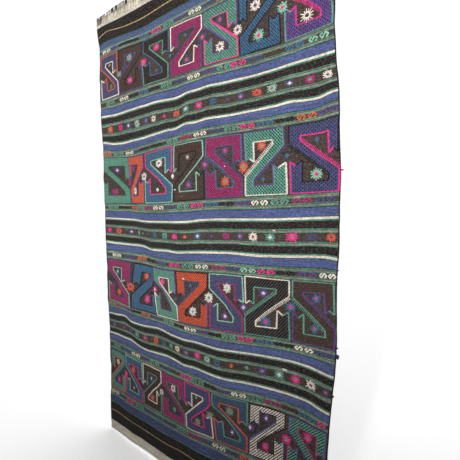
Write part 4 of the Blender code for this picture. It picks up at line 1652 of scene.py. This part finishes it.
class Tubes:
    """Three-sided yarns, gathered into one mesh."""

    def __init__(self):
        self.points, self.faces, self.flat, self.colours = [], [], [], []

    def add(self, path, radius, taper, colour, across, down, tip=None, tip_from=1.0):
        """A yarn along a path of points.

        It thins towards its end by a share, and its tip may be of another colour.
        """
        start, steps = len(self.points), len(path) - 1
        sideways = abs(path[-1][0] - path[0][0]) > abs(path[-1][2] - path[0][2])
        for step, (x, y, z) in enumerate(path):
            t = step / steps
            for corner in range(SIDES):
                angle = math.tau * corner / SIDES + TWIST * t
                size = radius * (1.0 - taper * t)
                a, b = size * math.cos(angle), size * math.sin(angle)
                self.points.append((x, y + b, z + a) if sideways else (x + a, y + b, z))
                self.flat.append((across + a, down + FLAT_REACH * t))
                self.colours.append(colour if tip is None or t < tip_from else tip)
        for step in range(steps):
            for corner in range(SIDES):
                a = start + SIDES * step + corner
                b = start + SIDES * step + (corner + 1) % SIDES
                self.faces.append((a, b, b + SIDES, a + SIDES))

    def piece(self, name, material):
        """All yarns so far, as one mesh object."""
        arrays = [np.array(part) for part in (self.points, self.faces, self.colours, self.flat)]
        return add_piece(name, *arrays, material)


print("a yarn has", SIDES, "sides")

# %% [markdown]
# ## Warp ends
#
# The warp runs on past the web and stands above it as a fringe, matted and a little ragged.
# Even rows of yarn would look like a brush. Each lock here is a few thin yarns that start close
# together, spread, and lean their own way, and every few locks cling together in a clump. The
# first yarns of each clump are darker, as painted shade in the gap before it. Together they read
# as a band of fibre. The left end is soiled and shorter, and a few tips are dark teal.

# %% The fringe
LOCKS, YARNS_PER_LOCK, LOCKS_PER_CLUMP = 300, 8, 4
STEPS_UP = 6
YARN_RADIUS = 0.0016
SEAM_GAP = 0.0004
FRINGE_HEIGHT, UNEVEN_HEIGHT = 0.076, 0.0008
SHORTER_AT_LEFT_END, SHORTER_TO_THE_LEFT = 0.020, Rise(0.70, 0.20)
WORN_LOCKS, WORN_TO = 0.02, (0.7, 0.9)
YARN_HEIGHTS = (0.975, 1.0)
CLING = 0.32
CLUMP_LEAN, LOCK_LEAN, YARN_LEAN = 0.005, 0.002, 0.0016
CURL, CURL_TURN = 0.0010, 5.0
DEPTH, DEPTH_AT_ROOT, DEPTH_TURN = 0.0012, 0.4, 4.0
FRINGE_YARNS = (("undyed", 0.82), ("tan", 0.95), ("brown", 1.0))
LOCK_SHADE, YARN_SHADE = (0.90, 0.17), (0.95, 0.17)
# The first yarns of each clump are darkened by this share: painted shade in the gap between clumps.
SHADE_BETWEEN_CLUMPS, YARNS_IN_CLUMP_SHADE = 0.5, 2
SOILED, SOILED_TO = 0.42, -0.872
# Near these places the locks end in dark teal tips; every other yarn's last ring is a lighter dark teal.
DARK_TIP_PLACES = (-0.752, -0.700, -0.592, -0.41, -0.12, 0.33)
DARK_TIP_REACH = 0.0095
DARK_TEAL_TIP = (YARN["teal"] * 0.12, 0.6)
PLAIN_TIP = (YARN["teal"] * 0.5, 0.95)
fringe_dice = np.random.default_rng(31)


def warp_end(root, height, lean, curl, phase, shift_y):
    """The path of one yarn, from the cloth's edge up to its tip."""
    base = woven_at(np.array([root]), np.array([0.0]))[0]
    path = []
    for step in range(STEPS_UP + 1):
        t = step / STEPS_UP
        bend = lean * t * t + curl * math.sin(phase + CURL_TURN * t)
        out = shift_y * (DEPTH_AT_ROOT + t) + DEPTH * t * math.cos(phase + DEPTH_TURN * t)
        path.append((base[0] + bend, base[1] + out, base[2] + SEAM_GAP + height * t))
    return path


warp_ends = Tubes()
clump_lean = fringe_dice.normal(0.0, CLUMP_LEAN, LOCKS // LOCKS_PER_CLUMP + 1)
for lock in range(LOCKS):
    lock_middle = -HALF_WIDTH + (lock + 0.5) * CLOTH_WIDTH / LOCKS
    clump = lock // LOCKS_PER_CLUMP
    clump_middle = -HALF_WIDTH + (clump + 0.5) * LOCKS_PER_CLUMP * CLOTH_WIDTH / LOCKS
    lock_lean = clump_lean[clump] + CLING * (clump_middle - lock_middle)
    lock_lean += fringe_dice.normal(0.0, LOCK_LEAN)
    lock_height = FRINGE_HEIGHT + fringe_dice.normal(0.0, UNEVEN_HEIGHT)
    lock_height -= SHORTER_AT_LEFT_END * float(grown(-lock_middle, SHORTER_TO_THE_LEFT))
    if fringe_dice.random() < WORN_LOCKS:
        lock_height *= fringe_dice.uniform(*WORN_TO)
    shade = fringe_dice.normal(*LOCK_SHADE) * (SOILED if lock_middle < SOILED_TO else 1.0)
    dark_tipped = min(abs(lock_middle - place) for place in DARK_TIP_PLACES) < DARK_TIP_REACH
    for k in range(YARNS_PER_LOCK):
        root = lock_middle + (k - (YARNS_PER_LOCK - 1) / 2) * CLOTH_WIDTH / LOCKS / YARNS_PER_LOCK
        root = float(np.clip(root, -HALF_WIDTH + YARN_RADIUS, HALF_WIDTH - YARN_RADIUS))
        height = lock_height * fringe_dice.uniform(*YARN_HEIGHTS)
        lean = lock_lean + fringe_dice.normal(0.0, YARN_LEAN)
        curl, phase = fringe_dice.normal(0.0, CURL), fringe_dice.uniform(0, math.tau)
        shift_y = fringe_dice.uniform(-DEPTH, DEPTH)
        path = warp_end(root, height, lean, curl, phase, shift_y)
        pick = fringe_dice.random()
        spun = next(yarn for yarn, share in FRINGE_YARNS if pick <= share)
        # These yarns are darkened as painted shade between clumps.
        in_clump_shade = lock % LOCKS_PER_CLUMP == 0 and k < YARNS_IN_CLUMP_SHADE
        behind = SHADE_BETWEEN_CLUMPS if in_clump_shade else 1.0
        colour = YARN[spun] * shade * behind * fringe_dice.normal(*YARN_SHADE)
        tip, tip_from = DARK_TEAL_TIP if dark_tipped else PLAIN_TIP
        warp_ends.add(path, YARN_RADIUS, 0.0, colour, root, 0.0, tip, tip_from)
fringe = warp_ends.piece("warp_fringe", FRINGE_YARN)
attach(fringe, "root")
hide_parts("top_fringe")

# %% [markdown]
# ## Loose ends
#
# A few dyed ends stick out of the right selvedge, where the weaver changed colours, and two
# thick ones are a knot. Each could be one bent yarn. Here it is four thin ones side by side
# that droop unequally, so that it looks frayed.

# %% Loose ends
LooseEnd = namedtuple("LooseEnd", "down reach yarn radius")
LOOSE_ENDS = (
    LooseEnd(1.262, 0.012, "pink", 0.0016), LooseEnd(1.72, 0.006, "green", 0.0013),
    LooseEnd(2.076, 0.006, "dark", 0.0028), LooseEnd(2.112, 0.013, "navy", 0.0062),
    LooseEnd(2.119, 0.011, "teal", 0.0052), LooseEnd(2.300, 0.006, "dark", 0.0026),
)
YARNS_PER_END, YARNS_APART = 4, 0.0016
TUCKED_IN, NEARER = 0.004, 0.001
MOST_FALL, END_SWAY = 0.35, 0.002
END_TAPER, END_SHADE = 0.2, 0.6
END_STEPS = (0.0, 0.35, 0.7, 1.0)
edge_ends = Tubes()
for down, reach, yarn, radius in LOOSE_ENDS:
    base = on_cloth(np.array([HALF_WIDTH - TUCKED_IN]), np.array([down]), np.array([NEARER]))[0]
    for k in range(YARNS_PER_END):
        fall = fringe_dice.uniform(0.0, MOST_FALL) * reach
        turn = fringe_dice.normal(0.0, END_SWAY)
        beside = YARNS_APART * (k - (YARNS_PER_END - 1) / 2)
        path = []
        for t in END_STEPS:
            x = base[0] + (reach + TUCKED_IN) * t
            y = base[1] + turn * t - NEARER
            z = base[2] - fall * t * t + beside
            path.append((x, y, z))
        edge_ends.add(path, radius, END_TAPER, YARN[yarn] * END_SHADE, HALF_WIDTH, down)
loose = edge_ends.piece("loose_ends", FIGURE_WOOL)
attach(loose, "root")
sewn.append(loose)

# %% [markdown]
# ## The cloth's pieces
#
# The web is a sheet of cloth cut to a known size. What is sewn or laid into it goes with it.
# Here the pieces that go with the web are counted.

# %% Cloth
print(len(sewn) + 1, "pieces go with the web")

# %% [markdown]
# ## Floor and light
#
# The rug hangs a finger's breadth above a pale floor, in white daylight from all round. A large
# soft lamp in front and to the right doubles that light and more. Its beam is aimed at the upper
# half, so the cloth darkens towards its foot, and it comes from a little above, so that the folds
# and the stitches throw some shade. The daylight alone would leave the relief flat.

# %% Floor and daylight
ABOVE_FLOOR = 0.012
FLOOR_SIZE = 60.0
FLOOR_PAINT = (0.97, 0.97, 0.97, 1.0)
DAYLIGHT = 1.05
bpy.ops.mesh.primitive_plane_add(size=FLOOR_SIZE, location=(0.0, 0.0, -CLOTH_LENGTH - ABOVE_FLOOR))
floor = bpy.context.object
floor.name = "floor"
paint = bpy.data.materials.new("floor_paint")
paint.use_nodes = True
paint.node_tree.nodes["Principled BSDF"].inputs["Base Color"].default_value = FLOOR_PAINT
paint.node_tree.nodes["Principled BSDF"].inputs["Roughness"].default_value = 0.9
floor.data.materials.append(paint)

world = bpy.data.worlds.new("studio")
world.use_nodes = True
world.node_tree.nodes["Background"].inputs["Color"].default_value = (1.0, 1.0, 1.0, 1.0)
world.node_tree.nodes["Background"].inputs["Strength"].default_value = DAYLIGHT
bpy.context.scene.world = world
print("the floor is", 1000 * ABOVE_FLOOR, "mm under the cloth")

# %% [markdown]
# ## The lamp
#
# An area lamp would be as soft, but a spot can be narrow enough to leave the foot of the rug in
# less light. Its blend is wide, so that no edge of the beam shows.

# %% Lamp
LAMP_PLACE = np.array((1.9, -8.2, 0.9))
LAMP_AIM = np.array((0.11, 0.0, -0.14))
LAMP_WATTS = 7900.0
LAMP_RADIUS = 0.6
BEAM = math.radians(35.4)
BEAM_BLEND = 0.67
beam = bpy.data.lights.new("lamp", "SPOT")
beam.energy, beam.shadow_soft_size = LAMP_WATTS, LAMP_RADIUS
beam.spot_size, beam.spot_blend = BEAM, BEAM_BLEND
lamp = bpy.data.objects.new("lamp", beam)
lamp.location = LAMP_PLACE
aim = LAMP_AIM - LAMP_PLACE
tilt = math.atan2(math.hypot(aim[0], aim[1]), -aim[2])
heading = math.atan2(aim[0], -aim[1]) + math.pi
lamp.rotation_euler = (tilt, 0.0, heading)
bpy.context.scene.collection.objects.link(lamp)
bpy.context.scene.view_settings.view_transform = "Standard"
print("the lamp is", round(float(np.linalg.norm(aim)), 1), "m from where it aims")
